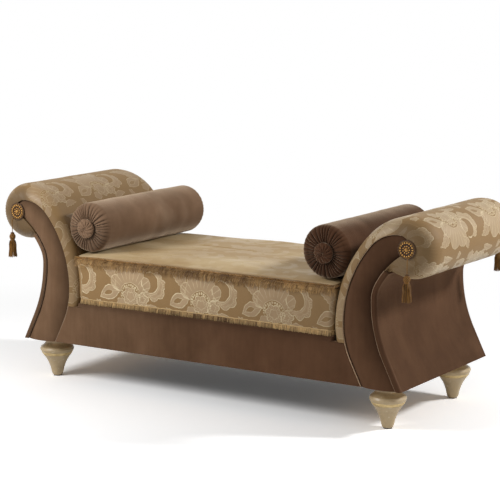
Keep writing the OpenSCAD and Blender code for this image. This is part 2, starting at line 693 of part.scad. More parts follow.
// Covered buttons in the gathered ends, each a flattened dome
button_shares = [[0, 0], [0.88, 0], [1, 0.2], [0.98, 0.42], [0.86, 0.68], [0.64, 0.87], [0.34, 0.97], [0, 1]];
module right_bolster_buttons() {
    color("sienna") both_ends() translate([bolster_x, well_depth - fit - bolster_len / 2, bolster_z])
        rotate([90, 0, 0]) rotate_extrude()
            polygon([for (s = button_shares) [s[0] * (button_r - 2 * over), s[1] * button_h]]);
}
module left_bolster_buttons() { mirror([1, 0, 0]) right_bolster_buttons(); }

front_rail();
back_rail();
left_end_rail();
right_end_rail();
cross_bearers();
corner_blocks();
webbing_cross();
webbing_long();
seat_deck();
dust_cover();
left_base_board();
right_base_board();
left_ribs();
right_ribs();
left_arm_stretchers();
right_arm_stretchers();
left_arm_skin();
right_arm_skin();
left_arm_cover();
right_arm_cover();
left_scroll_cover();
right_scroll_cover();
left_side_panel();
right_side_panel();
left_front_facing();
left_back_facing();
right_front_facing();
right_back_facing();
front_panel();
back_panel();
left_front_rosette();
left_back_rosette();
right_front_rosette();
right_back_rosette();
left_front_cord();
left_back_cord();
right_front_cord();
right_back_cord();
left_front_tassel();
left_back_tassel();
right_front_tassel();
right_back_tassel();
front_left_foot();
front_right_foot();
back_left_foot();
back_right_foot();
foot_rings();
foot_glides();
foot_bolts();
foot_nuts();
seat_cushion();
top_ruche();
bottom_ruche();
left_bolster();
right_bolster();
left_bolster_buttons();
right_bolster_buttons();
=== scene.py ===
# Looks of the recamier: its upholstery, trimmings and finishes, in metres
from math import asin, copysign, cos, degrees, exp, pi, radians, sin, sqrt

import bmesh
import bpy
import numpy as np
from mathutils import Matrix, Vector


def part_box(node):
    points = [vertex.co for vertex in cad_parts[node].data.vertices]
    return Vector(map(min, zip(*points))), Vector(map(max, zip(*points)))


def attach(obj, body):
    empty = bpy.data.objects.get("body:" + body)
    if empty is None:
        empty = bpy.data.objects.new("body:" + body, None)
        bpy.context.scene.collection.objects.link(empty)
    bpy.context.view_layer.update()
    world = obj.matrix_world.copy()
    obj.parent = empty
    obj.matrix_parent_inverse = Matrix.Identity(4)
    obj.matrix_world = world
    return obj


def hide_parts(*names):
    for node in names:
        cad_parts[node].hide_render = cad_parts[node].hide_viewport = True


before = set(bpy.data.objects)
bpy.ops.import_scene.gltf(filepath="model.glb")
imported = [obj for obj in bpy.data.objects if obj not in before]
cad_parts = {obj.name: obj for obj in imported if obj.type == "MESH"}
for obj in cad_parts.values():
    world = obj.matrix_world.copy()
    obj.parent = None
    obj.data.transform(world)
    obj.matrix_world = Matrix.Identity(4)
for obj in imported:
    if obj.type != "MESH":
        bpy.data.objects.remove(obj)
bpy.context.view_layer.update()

scene = bpy.context.scene

# Driving dimensions, as in the frame
HALF = 0.336
BASE_Z = 0.152
STRIP_Z = 0.297
WAIST_X = 0.5493
WAIST_Z = 0.366
CUSHION_Z = 0.313
EDGE_Z = 0.492
CROWN_H = 0.016
CROWN_RUN = 0.110
DRAW_IN = 0.006
LOOSE = 0.001
SEAM = 0.0005
FACE_R = 0.448
SHOULDER_R = 0.200
ROLL_R = 0.106
FACE_TURN = 45
ROLL_TURN = 215
EDGE_W = 0.038
BAND_W = 0.110
BAND_T = 0.020
BAND_CROWN = 0.008
PAD_T = 0.0247
EDGE_ROUND = 0.025
ROLL_ROUND = 0.068
SKIRT_R = 0.285
SKIRT_TURN = 26.6
BAND_TURN = 42
BAND_TOP_R = 0.135
CURL_R = 0.054
CURL_TURN = 41
NECK_RISE = 0.089
BACK_R = 0.470
BACK_TURN = 26.4
NECK_R = 0.115
NECK_TURN = 28.5
THROAT_R = 0.3015
THROAT_TURN = 31.5
SIDE_LAP = 0.0175
SIDE_T = 0.008
SIDE_ROUND = 0.008
SIDE_TOP_TURN = 11.4
TUCK_TURN = 11.8
TUCK_STEPS = 7
RIB_Y = HALF - BAND_T
EDGE_X = WAIST_X + EDGE_W
NECK_X = EDGE_X + BAND_W
NECK_Z = WAIST_Z + NECK_RISE
STRIP_X = EDGE_X + SKIRT_R - sqrt(SKIRT_R ** 2 - (WAIST_Z - STRIP_Z) ** 2)
STRIP_TURN = degrees(asin((WAIST_Z - STRIP_Z) / (SKIRT_R + EDGE_W)))
ROLL_X = WAIST_X + FACE_R - (FACE_R - SHOULDER_R) * cos(radians(FACE_TURN))
ROLL_Z = WAIST_Z + (FACE_R - SHOULDER_R) * sin(radians(FACE_TURN)) + SHOULDER_R - ROLL_R
SIDES = {"left": -1, "right": 1}
ENDS = {"front": -1, "back": 1}
# Points to each step of the frame's paths
FINE = 5
TURN = 2 * pi
rng = np.random.default_rng(11)


def add_object(name, data):
    made = bpy.data.objects.new(name, data)
    scene.collection.objects.link(made)
    return made


def aim(thing, at, ahead):
    """Puts a camera or lamp at a point, looking along a vector."""
    thing.location = at
    thing.rotation_euler = ahead.to_track_quat("-Z", "Y").to_euler()


# Camera

CAMERA_AT = (3.44405, -5.36026, 1.56692)
CAMERA_YAW = 0.571
CAMERA_PITCH = -0.1633
camera = add_object("Camera", bpy.data.cameras.new("Camera"))
camera.data.lens = 125.4
camera.data.sensor_width = 36
camera.data.clip_end = 60
level = cos(CAMERA_PITCH)
aim(camera, CAMERA_AT, Vector((-sin(CAMERA_YAW) * level, cos(CAMERA_YAW) * level,
                               sin(CAMERA_PITCH))))
scene.camera = camera


# Meshes

def make(name, points, faces, look, body="frame", cloth=None, shade=None, mirror=(1, 1), sharp=50):
    """A smooth piece that rides on a body, sharp where faces meet at more than that angle. cloth is
    the fabric's own coordinates of each point and shade a number for it."""
    mesh = bpy.data.meshes.new(name)
    points = np.array(points, float).reshape(-1, 3) * (*mirror, 1)
    mesh.from_pydata(points.tolist(), [], faces)
    for key, kind, part, values in (("cloth", "FLOAT_VECTOR", "vector", cloth),
                                    ("shade", "FLOAT", "value", shade)):
        if values is not None:
            data = mesh.attributes.new(key, kind, "POINT").data
            data.foreach_set(part, np.array(values, np.float32).reshape(-1))
    bm = bmesh.new()
    bm.from_mesh(mesh)
    bmesh.ops.recalc_face_normals(bm, faces=bm.faces)
    bm.to_mesh(mesh)
    bm.free()
    mesh.polygons.foreach_set("use_smooth", [True] * len(mesh.polygons))
    mesh.set_sharp_from_angle(angle=radians(sharp))
    mesh.materials.append(look)
    piece = add_object(name, mesh)
    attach(piece, body)
    return piece


def quads(n, m, wrap=False):
    """Faces of an n by m grid of points, row by row, whose rows close on themselves if wrap is set."""
    cols = m if wrap else m - 1
    return [(i * m + j, i * m + (j + 1) % m, (i + 1) * m + (j + 1) % m, (i + 1) * m + j)
            for i in range(n - 1) for j in range(cols)]


def barrel(n, m):
    """Faces of n rings of m points, closed at both ends."""
    return quads(n, m, True) + [tuple(range(m)), tuple(range((n - 1) * m, n * m))]


def circle(m):
    return np.linspace(0, TURN, m, endpoint=False)


def hoop(radius, angles, y):
    """Points at those angles about the Y axis."""
    return np.c_[radius * np.cos(angles), np.full(len(angles), y), radius * np.sin(angles)]


def run(points):
    """Distance along a row of points."""
    return np.r_[0, np.cumsum(np.linalg.norm(np.diff(points, axis=0), axis=1))]


def unit(v):
    """Values held between 0 and 1."""
    return np.clip(v, 0, 1)


def normed(v):
    return v / np.maximum(np.linalg.norm(v, axis=-1, keepdims=True), 1e-12)


def ripple(u, v, size, seed):
    """Soft folds: a sum of waves of about that size, mostly between -1 and 1."""
    waves = np.random.default_rng(seed)
    total = 0
    for _ in range(7):
        angle, phase = waves.uniform(0, pi), waves.uniform(0, TURN)
        k = TURN / (size * waves.uniform(0.6, 1.6))
        total = total + np.sin(k * (u * cos(angle) + v * sin(angle)) + phase)
    return total / 4


def soft(depth, u, v, size, seed):
    """Soft folds as dents, mostly of up to twice that depth."""
    return depth * (1 + ripple(u, v, size, seed))


class Heap:
    """Collects many small forms into one mesh."""

    def __init__(self):
        self.points, self.faces, self.shade, self.count = [], [], [], 0

    def add(self, points, faces, shade=0.0):
        points = np.asarray(points, float).reshape(-1, 3)
        self.faces += [tuple(self.count + i for i in f) for f in faces]
        self.points.append(points)
        self.shade.append(np.broadcast_to(shade, len(points)))
        self.count += len(points)

    def tube(self, path, radius, sides=6, shade=0.0, lobes=0, twist=0.0, lobe_share=0.25):
        """A tube along path, with tapering radii and, if lobes is set, twisted plies."""
        path = np.asarray(path, float)
        along = normed(np.gradient(path, axis=0))
        across = normed(np.cross(along, [0.31, 0.17, 0.94]))
        up = np.cross(across, along)
        a = circle(sides)
        r = np.broadcast_to(radius, len(path))[:, None]
        if lobes:
            plies = np.cos(lobes * (a - twist * run(path)[:, None]))
            r = r * (1 + lobe_share * plies) / (1 + lobe_share)
        rings = (path[:, None] + (r * np.cos(a))[..., None] * across[:, None]
                 + (r * np.sin(a))[..., None] * up[:, None])
        self.add(rings, barrel(len(path), sides), shade)

    def build(self, name, look, at=(0, 0, 0), **options):
        return make(name, np.concatenate(self.points) + at, self.faces, look,
                    shade=np.concatenate(self.shade), **options)


# Paths in X and Z, walked as arcs and lines

def step_end(p, h, size, turn):
    a, b = radians(h), radians(h - turn)
    if turn == 0:
        return p + size * np.array([cos(a), sin(a)])
    return p + copysign(size, turn) * np.array(
        [sin(a) - sin(b), cos(b) - cos(a)])


def walk(p, h, steps):
    """Points (x, z, heading) along steps (radius, turn to the right, count) or (length, 0, 1)."""
    out, p = [], np.array(p, float)
    for size, turn, count in steps:
        n = count * FINE
        for k in range(1, n + 1):
            q = step_end(p, h, size if turn else size * k / n, turn * k / n)
            out.append([q[0], q[1], h - turn * k / n])
        p, h = np.array(out[-1][:2]), out[-1][2]
    return np.array(out)


def rise(x, z, steps):
    """The way up from a point where it is upright."""
    return np.r_[[[x, z, 90]], walk([x, z], 90, steps)]


def upwards(v):
    return v[::-1] + [0, 0, 180]


def skirt(x, z, radius, turn, count):
    """The way up to a point from the base: straight, then in an arc that ends upright."""
    flare = (z - radius * sin(radians(turn)) - BASE_Z) / cos(radians(turn))
    return upwards(walk([x, z], -90, [(radius, -turn, count), (flare, 0, 1)]))


def beside(v, t):
    """Points moved to the right of their heading by t."""
    a = np.radians(v[:, 2])
    return np.c_[v[:, 0] + t * np.sin(a), v[:, 1] - t * np.cos(a), v[:, 2]]


def grounded(v, z):
    """Points whose straight start is cut or lengthened to height z."""
    first = v[0] + (v[1] - v[0]) * (z - v[0][1]) / (v[1][1] - v[0][1])
    return np.r_[[first], v[1:]]


face = np.r_[upwards(walk([WAIST_X, WAIST_Z], -90, [(SKIRT_R + EDGE_W, -STRIP_TURN, 2)])),
             rise(WAIST_X, WAIST_Z, [(FACE_R, FACE_TURN, 8), (SHOULDER_R, 90 - FACE_TURN, 6),
                                     (ROLL_R, ROLL_TURN, 18)])]
edge = np.r_[skirt(EDGE_X, WAIST_Z, SKIRT_R, SKIRT_TURN, 4), rise(EDGE_X, WAIST_Z, [
    (FACE_R - EDGE_W, BAND_TURN, 8), (BAND_TOP_R, 90 - BAND_TURN, 6), (CURL_R, CURL_TURN, 3)])]
neck_low = skirt(NECK_X, NECK_Z, BACK_R, BACK_TURN, 6)
neck = np.r_[neck_low, rise(NECK_X, NECK_Z, [
    (NECK_R, NECK_TURN, 4), (THROAT_R, TUCK_TURN, 4), (THROAT_R, THROAT_TURN - TUCK_TURN, TUCK_STEPS)])]
side = np.r_[neck_low, rise(NECK_X, NECK_Z, [(NECK_R, NECK_TURN, 4), (THROAT_R, SIDE_TOP_TURN, 2)])]
# The arm's cover ends at the facing: from the strip up the facing's edge, across its tip and
# some way down its neck
TIP_STEPS = 8
above_strip = edge[4 * FINE:, :2]
facing_side = np.r_[np.linspace((STRIP_X, STRIP_Z), above_strip[0], FINE, endpoint=False), above_strip,
                    np.linspace(edge[-1, :2], neck[-1, :2], TIP_STEPS * FINE + 1)[1:],
                    neck[-2:-2 - TUCK_STEPS * FINE:-1, :2]]


# Shader fields: values worked out by nodes at each point of a surface

class Field:
    """A number at each point, from the nodes being made."""

    owner = tree = None

    def __init__(self, socket):
        self.socket = socket

    def __add__(self, other):
        return calc("ADD", self, other)

    def __sub__(self, other):
        return calc("SUBTRACT", self, other)

    def __rsub__(self, other):
        return calc("SUBTRACT", other, self)

    def __mul__(self, other):
        return calc("MULTIPLY", self, other)

    def __truediv__(self, other):
        return calc("DIVIDE", self, other)

    def __abs__(self):
        return calc("ABSOLUTE", self)

    __radd__ = __add__
    __rmul__ = __mul__


def paint(red, green, blue):
    """A colour's light, from the way that it shows on a screen."""
    return tuple(c / 12.92 if c <= 0.04045 else ((c + 0.055) / 1.055) ** 2.4
                 for c in (red, green, blue)) + (1.0,)


def dimmed(colour, share):
    return tuple(share * c for c in paint(*colour)[:3]) + (1.0,)


def feed(socket, value):
    """Links an input to a field or output, or sets it. Three numbers are a colour on a screen."""
    if isinstance(value, Field):
        value = value.socket
    if isinstance(value, bpy.types.NodeSocket):
        Field.tree.links.new(value, socket)
    elif socket.type == "RGBA" and len(value) == 3:
        socket.default_value = paint(*value)
    else:
        socket.default_value = value


def add_node(kind, settings=None, **values):
    """A node with its settings and its inputs by name, with spaces as underscores."""
    node = Field.tree.nodes.new("ShaderNode" + kind)
    for key, value in (settings or {}).items():
        setattr(node, key, value)
    for key, value in values.items():
        feed(node.inputs[key.replace("_", " ")], value)
    return node


def begin(name, kind=bpy.data.materials):
    """Starts the nodes of a new material, or of another thing of that kind."""
    Field.owner = kind.new(name)
    Field.owner.use_nodes = True
    Field.tree = Field.owner.node_tree
    Field.tree.nodes.clear()
    return Field.owner


def calc(operation, *values):
    node = add_node("Math", {"operation": operation})
    for socket, value in zip(node.inputs, values):
        feed(socket, value)
    return Field(node.outputs[0])


def most(first, *others):
    for other in others:
        first = calc("MAXIMUM", first, other)
    return first


def least(a, b):
    return calc("MINIMUM", a, b)


def step(low, high, value):
    """0 below low, 1 above high and smooth between them."""
    node = add_node("MapRange", {"interpolation_type": "SMOOTHSTEP"},
                    Value=value, From_Min=low, From_Max=high)
    return Field(node.outputs[0])


def blend(share, a, b):
    """Colour a where share is 0 and b where it is 1."""
    node = add_node("Mix", {"data_type": "RGBA"})
    for socket, value in zip((node.inputs[0], node.inputs[6], node.inputs[7]), (share, a, b)):
        feed(socket, value)
    return node.outputs[2]


def place(stretch=(1, 1, 1), attribute=None):
    """The object's own coordinates, or a fabric's, stretched."""
    if attribute:
        source = add_node("Attribute", {"attribute_name": attribute}).outputs["Vector"]
    else:
        source = add_node("TexCoord").outputs["Object"]
    return add_node("Mapping", Vector=source, Scale=stretch).outputs[0]


def split(vector):
    return [Field(part) for part in add_node("SeparateXYZ", Vector=vector).outputs]


def shading():
    """The number that make() keeps for each point."""
    return Field(add_node("Attribute", {"attribute_name": "shade"}).outputs["Fac"])


def noise(at, scale, detail=3.0, roughness=0.5):
    node = add_node("TexNoise", Vector=at, Scale=scale, Detail=detail, Roughness=roughness)
    return Field(node.outputs[0])


def material(colour, roughness, height, depth, strength, **fixed):
    """Ends the material being made with a principled shader over a relief."""
    relief = add_node("Bump", Height=height, Distance=depth, Strength=strength)
    shader = add_node("BsdfPrincipled", Base_Color=colour, Roughness=roughness,
                      Normal=relief.outputs[0], **fixed)
    add_node("OutputMaterial", Surface=shader.outputs[0])
    return Field.owner


# Materials

def velvet(name, pale, rich, streaks=(60, 60, 5), fade=(-0.85, 0.35)):
    """Cut pile, given as deep, lit and sheen colours at the left end and at the right, faded between them as
    painted light falloff: the nap lies lighter or darker in slow patches, with faint streaks and fine pile,
    patches of painted sheen, and painted shade in pleats, folds, seams and under things."""
    begin(name)
    at = place()
    # Painted light falloff: the colours fade along X from the paler left end to the darker right end
    painted_falloff = step(*fade, split(at)[0])
    lie = noise(place((1, 1, 0.6)), 3.2, 2, 0.4)
    nap = noise(place(streaks), 1, 3, 0.6)
    sheen_patches = step(0.5, 0.8, noise(place((1, 1, 0.5)), 9, 2, 0.5))
    clouds = noise(place((1, 1, 0.8)), 15, 3, 0.6)
    tone = step(0.25, 0.75, lie * 0.55 + nap * 0.17 + clouds * 0.28)
    pile = noise(at, 1700, 2)
    deep, lit, sheen = [blend(painted_falloff, a, b) for a, b in zip(pale, rich)]
    # Painted sheen: slow patches of the base colour are drawn toward the sheen colour
    colour = blend(sheen_patches * 0.12, blend(tone, deep, lit), sheen)
    # Painted shade: each point's shade number darkens the pile toward a deep shadow colour
    colour = blend(shading() * 0.75, blend(pile * 0.22, colour, deep), dimmed(rich[0], 0.30))
    return material(colour, 0.88, pile + nap * 1.5, 0.0005, 0.3, Sheen_Weight=1.0,
                    Sheen_Roughness=0.36, Sheen_Tint=pale[2], Specular_IOR_Level=0.06)


def waves(angle, count):
    return abs(calc("SINE", angle * count))


def polar(u, v, x, y):
    """Distance and angle from upright about a point."""
    du, dv = u - x, v - y
    return calc("SQRT", du * du + dv * dv), calc("ARCTAN2", du, dv)


def petals(away, angle, count, swell, size):
    """How far inside a round of lobes a point lies."""
    return waves(angle, count) * swell + size - away


def leaf(u, v, x, y, turn, length, width, curl=0.0, teeth=0.0):
    """How far inside a pointed leaf a point lies, its distance from the midrib and its place along it."""
    c, s = cos(turn), sin(turn)
    along = (u - x) * c + (v - y) * s
    across = (v - y) * c - (u - x) * s + along * along * curl
    edge_at = (1 - calc("POWER", abs(along / length), 1.7)) * width
    if teeth:
        edge_at = edge_at + waves(along, teeth) * (width * 0.22)
    return edge_at - abs(across), across, along


DAMASK_PITCH = 0.31
DAMASK_ROW = 0.19


def damask(name, ground, satin, line, silk):
    """A traditional woven pattern: feathered palmettes over shells, with curled leaves and scrolls."""
    begin(name)
    at = place((1, 1, 1), "cloth")
    u, v, part = split(at)
    u = u + (noise(at, 9, 2) - 0.5) * 0.012 + (noise(at, 70, 2) - 0.5) * 0.0075
    v = v + (noise(at, 8, 2) - 0.5) * 0.010 + (noise(at, 64, 2) - 0.5) * 0.0075
    # The third coordinate is 2 on the cushion's top, 1 on its border, 0 on the arms and goes
    # down to -1 on the scrolls' ends
    on_top = step(1.4, 1.6, part)
    on_end = step(0.2, 0.9, part * -1.0)
    on_arm = 1 - step(0.1, 0.9, part)
    own_x = split(place())[0]
    right_lit = step(0.4, 0.75, own_x)
    painted_arm_shade = step(-0.25, 0.60, own_x) * (1 - on_arm) * (1 - on_top)
    painted_low_shade = 1 - step(0.22, 0.48, v)
    row = calc("FLOOR", v / DAMASK_ROW + 0.5)
    v = v - row * DAMASK_ROW
    u = u + row * (DAMASK_PITCH / 2)
    u = u - calc("FLOOR", u / DAMASK_PITCH + 0.5) * DAMASK_PITCH

    def fill(g):
        return step(-0.0007, 0.0007, g)

    def ridge(g, width):
        return 1 - step(width * 0.35, width, abs(g))

    def rays(low, high, angle, count):
        return 1 - step(low, high, waves(angle, count))

    # Feathered fan with deep notches, over three scalloped shells
    r, angle = polar(u, v, 0.0, -0.034)
    reach = 0.104 - angle * angle * 0.020 + waves(angle, 4.5) * 0.020
    fan = least(least(reach - r, (1.30 - abs(angle)) * 0.03), r - 0.046)
    quills = rays(0.08, 0.30, angle, 13.5) * step(0.054, 0.062, r)
    r0, a0 = polar(u, v, 0.0, -0.038)
    shell = petals(r0, a0, 3.5, 0.007, 0.029)
    inner_shell = petals(r0, a0, 2.5, 0.005, 0.014)
    dashes = step(0.35, 0.6, waves(a0, 13)) * least(step(0.037, 0.0385, r0), 1 - step(0.0445, 0.046, r0))
    dashes = dashes * step(-0.050, -0.044, v)
    r1, a1 = polar(u, v, 0.051, -0.044)
    lobe = petals(r1, a1 + 0.4, 2.5, 0.009, 0.020)
    inner_lobe = petals(r1, a1 + 0.4, 2.5, 0.005, 0.009)
    knot = petals(*polar(u, v, -0.044, -0.066), 2.5, 0.005, 0.015)
    # Almond leaf that curls round a dark eye, and a toothed scroll open to its left
    almond, rib, _ = leaf(u, v, -0.094, -0.030, 0.35, 0.046, 0.027, 2.5)
    eye, _, _ = leaf(u, v, -0.100, -0.032, 0.35, 0.022, 0.010, 2.5)
    frond, frond_rib, along = leaf(u, v, -0.088, 0.046, -0.75, 0.042, 0.017, 9.0, 170)
    r2, a2 = polar(u, v, 0.104, 0.008)
    hollow, _ = polar(u, v, 0.088, 0.020)
    scroll = least(petals(r2, a2, 3.5, 0.010, 0.045), hollow - 0.037)
    inner_scroll = least(petals(r2, a2, 3.5, 0.006, 0.036), hollow - 0.044)
    spray, spray_rib, _ = leaf(u, v, 0.084, -0.074, 0.25, 0.036, 0.011, 6.0, 170)
    tuft, tuft_rib, _ = leaf(u, v, 0.060, 0.070, 0.9, 0.030, 0.012, -8.0, 190)
    bud = petals(*polar(u, v, -0.146, -0.078), 2.5, 0.006, 0.009)
    figure = most(*[fill(g) for g in (fan, shell, lobe, knot, almond, frond, scroll, spray, tuft, bud)])
    # Ground shows between the forms that overlap, along ribs and veins
    veins = rays(0.12, 0.45, abs(frond_rib) * 0.8 + along, 210) * fill(frond - 0.003)
    hatch = rays(0.15, 0.5, a2, 17) * fill(scroll - 0.004) * (1 - fill(inner_scroll))
    flutes = most(rays(0.12, 0.45, a0, 9) * fill(shell - 0.004) * (1 - fill(inner_shell)),
                  rays(0.15, 0.5, a1, 8) * fill(lobe - 0.003) * (1 - fill(inner_lobe)))
    ribs = [ridge(g, 0.0010) * fill(form)
            for g, form in ((frond_rib, frond), (spray_rib, spray), (tuft_rib, tuft))]
    behind_fan = fill(fan + 0.018)
    inner = most(ridge(shell + 0.0035, 0.0024) * behind_fan, ridge(lobe + 0.003, 0.0020) * behind_fan,
                 fill(eye) * 1.2, fill(inner_scroll - 0.006) * 0.35, veins * 0.5, *ribs)
    small = (inner_shell, inner_lobe, frond, spray, tuft, knot, eye, bud)
    edges = most(*[ridge(g, 0.0021) for g in (shell, lobe, almond, scroll)],
                 *[ridge(g, 0.0015) * 0.8 for g in small], ridge(fan, 0.0017) * 0.85, dashes * 0.9,
                 quills * fill(fan) * 0.55, hatch * 0.5, flutes * 0.5, ridge(inner_scroll, 0.0012) * 0.5,
                 ridge(rib, 0.0010) * fill(almond) * (1 - fill(eye)) * 0.5)

    threads = noise(place((300, 2400, 900), "cloth"), 1, 2)
    wefts = noise(place((2400, 300, 900), "cloth"), 1, 2)
    slow = noise(at, 6, 3, 0.6)
    worn = 1 - step(0.42, 0.72, noise(at, 30, 3, 0.6)) * 0.7
    # Painted highlight: slow pools of light over the cushion's top
    painted_highlight_pool = step(0.38, 0.66, noise(place((1.0, 2.4, 1)), 2.6, 4, 0.6))
    # The pattern is quieted under the painted sheen of the cushion's top, on the scrolls' gathered ends, and
    # by painted shade on the arms, more on the left one than on the lit right one
    quiet = ((1 - on_top * 0.72) * (1 - on_end * (0.85 - right_lit * 0.15))
             * (1 - on_arm * (0.42 - right_lit * 0.30)))
    bare = blend(step(0.35, 0.65, threads) * 0.7 + slow * 0.3, ground, dimmed(ground, 0.74))
    shine = blend(step(0.35, 0.7, noise(at, 14, 3, 0.6)) * 0.5 + wefts * 0.3, satin, dimmed(satin, 0.80))
    # Painted highlight: the figure on the right arm is drawn toward the light line colour
    body = blend(figure * quiet, bare, blend(right_lit * on_arm * 0.16, shine, line))
    for share, colour in ((inner * 0.8 * quiet, bare),
                          (edges * 0.9 * worn * quiet, line),
                          # Painted shade over the arms, deeper low down on their inner side
                          (on_arm * (painted_low_shade * 0.32 + 0.16), dimmed(ground, 0.42)),
                          # Painted shade on the border towards the right arm
                          (painted_arm_shade * 0.5, dimmed(ground, 0.42)),
                          # Painted shade on the scrolls' ends, deeper on the left one
                          (on_end * (0.9 - right_lit * 0.2), dimmed(ground, 0.34)),
                          # Painted sheen over the cushion's top, painted highlight in its pools and painted
                          # shade between them
                          (on_top * 0.62, blend(wefts * 0.4, silk, satin)),
                          (on_top * painted_highlight_pool * 0.34, line),
                          (on_top * (1 - painted_highlight_pool) * 0.14, dimmed(ground, 0.74))):
        body = blend(share, body, colour)
    height = figure * 0.8 + edges * 0.5 - inner * 0.4 + threads * 0.35 + wefts * 0.2
    return material(body, 0.62 - figure * 0.16 + inner * 0.1, height * quiet, 0.0009, 0.5,
                    Sheen_Weight=0.22, Sheen_Roughness=0.35, Sheen_Tint=line, Specular_IOR_Level=0.35)


def yarn(name, dark, light, rough=0.6, sheen=0.25):
    """Twisted silk or cotton yarn whose colour varies from strand to strand."""
    begin(name)
    ply = noise(place(), 700, 2)
    return material(blend(shading() * (ply * 0.3 + 0.78), dark, light), rough, ply, 0.0005, 0.5,
                    Sheen_Weight=sheen, Sheen_Roughness=0.4, Specular_IOR_Level=0.3)


def wood(name, dark, light, along=(1, 9, 9), rough=0.6):
    """Sawn timber with drawn-out grain."""
    begin(name)
    rings = noise(place(along), 7, 6, 0.6)
    pores = noise(place(tuple(30 * c for c in along)), 3, 2)
    colour = blend(step(0.58, 0.72, pores) * 0.5, blend(step(0.35, 0.68, rings), dark, light), dark)
    return material(colour, rough, rings + pores * 0.3, 0.0006, 0.35)


def lacquer(name, coat, shadow, rough=0.42):
    """Hand-rubbed paint: brushed streaks, a little grime in patches and faint rubbed spots."""
    begin(name)
    at = place()
    brush = noise(place((1, 1, 0.22)), 160, 4, 0.6)
    grime = step(0.46, 0.72, noise(at, 26, 5, 0.65))
    rub = step(0.62, 0.72, noise(at, 70, 3, 0.6))
    colour = blend(grime * 0.35, blend(brush * 0.3, coat, shadow), shadow)
    return material(blend(rub * 0.3, colour, (0.93, 0.89, 0.80)), brush * 0.16 + (rough - 0.08),
                    brush + grime * 0.4, 0.0005, 0.25, Coat_Weight=0.25, Coat_Roughness=0.35)


def metal(name, colour, worn, rough=0.3, metallic=1.0):
    """Rubbed metal, or a hard finish if metallic is low."""
    begin(name)
    at = place()
    rub = step(0.42, 0.68, noise(at, 60, 5, 0.6))
    fine = noise(at, 420, 3)
    return material(blend(rub * 0.6, colour, worn), fine * 0.16 + rub * 0.14 + (rough - 0.1),
                    fine + rub, 0.0003, 0.3, Metallic=metallic)


def cloth_board(name, colour, dark, scale=500, rough=0.85):
    """Plain woven or felted cloth and board."""
    begin(name)
    weave = noise(place((1, 0.15, 1)), scale, 3) * 0.5 + noise(place((0.15, 1, 1)), scale, 3) * 0.5
    fade = noise(place(), 12, 4)
    return material(blend(fade * 0.35 + step(0.4, 0.6, weave) * 0.4, colour, dark), rough, weave,
                    0.0006, 0.5, Sheen_Weight=0.12, Sheen_Roughness=0.5)


# Each velvet's first palette is its paler left end and its second its darker right end; the fade between
# them is painted light falloff
VELVET = velvet("velvet", ((0.385, 0.29, 0.21), (0.525, 0.41, 0.315), (0.76, 0.63, 0.51)),
                ((0.265, 0.177, 0.12), (0.39, 0.277, 0.20), (0.64, 0.48, 0.36)))
# A paler, more contrasty lit copy of the velvet for the bolsters and their buttons: painted light on their
# tops
LIT_BOLSTER_VELVET = velvet("bolster_velvet", ((0.40, 0.305, 0.23), (0.58, 0.465, 0.37), (0.92, 0.83, 0.72)),
                        ((0.23, 0.145, 0.095), (0.35, 0.235, 0.165), (0.70, 0.50, 0.36)),
                        (9, 5, 9), (-0.6, 0.5))
# The damask's last colour is the painted sheen of the cushion's top
DAMASK = damask("damask", (0.595, 0.465, 0.29), (0.695, 0.585, 0.445), (0.89, 0.82, 0.67),
                (0.72, 0.61, 0.43))
BRUSH = yarn("brush_fringe", (0.39, 0.265, 0.14), (0.86, 0.70, 0.46))
GOLD_YARN = yarn("gold_fringe", (0.38, 0.27, 0.155), (0.83, 0.70, 0.49))
RUST_YARN = yarn("tassel_yarn", (0.23, 0.14, 0.045), (0.62, 0.43, 0.16), 0.55, 0.1)
BRAID = yarn("braid_yarn", (0.19, 0.095, 0.04), (0.92, 0.70, 0.38), 0.5, 0.04)
PIPING = yarn("piping_yarn", (0.28, 0.195, 0.14), (0.72, 0.60, 0.48), 0.7, 0.15)
IVORY = lacquer("ivory_paint", (0.73, 0.64, 0.485), (0.49, 0.40, 0.275))
GILT = metal("gilt", (0.80, 0.705, 0.50), (0.60, 0.49, 0.31), 0.45, 0.4)
STEEL = metal("steel", (0.62, 0.63, 0.64), (0.40, 0.39, 0.38), 0.35)
GLIDE = metal("glide", (0.20, 0.17, 0.14), (0.11, 0.095, 0.08), 0.6, 0.0)
BEECH = wood("beech", (0.55, 0.40, 0.25), (0.76, 0.61, 0.42))
PLY = wood("plywood", (0.58, 0.44, 0.28), (0.80, 0.67, 0.48), (2, 2, 9))
HARDBOARD = cloth_board("hardboard", (0.44, 0.29, 0.17), (0.30, 0.19, 0.11), 240, 0.7)
WEBBING = cloth_board("webbing", (0.50, 0.40, 0.27), (0.28, 0.21, 0.14))
FELT = cloth_board("felt", (0.46, 0.43, 0.39), (0.32, 0.30, 0.27), 300, 0.95)
CAMBRIC = cloth_board("cambric", (0.075, 0.07, 0.07), (0.03, 0.03, 0.03), 650, 0.9)

# Solids that stay as they are take their look by the last word of their name
CAD_LOOKS = {"rail": BEECH, "bearers": BEECH, "blocks": BEECH, "stretchers": BEECH, "board": PLY,
             "ribs": PLY, "skin": HARDBOARD, "cross": WEBBING, "long": WEBBING, "foot": IVORY,
             "rings": GILT, "glides": GLIDE, "bolts": STEEL, "nuts": STEEL}
for name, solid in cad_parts.items():
    look = CAD_LOOKS.get(name.split("_")[-1])
    if look:
        solid.data.materials.clear()
        solid.data.materials.append(look)


# Arms

def rounding(radius, depth):
    """How far an edge of that radius draws in at the depth from the end face."""
    depth = np.minimum(depth, radius)
    return radius - np.sqrt(radius ** 2 - (radius - depth) ** 2)


def eased(radius, count, start=0.0):
    """Depths over a rounded edge, closest together at its start."""
    return radius * (1 - np.cos(np.linspace(start, pi / 2, count)))


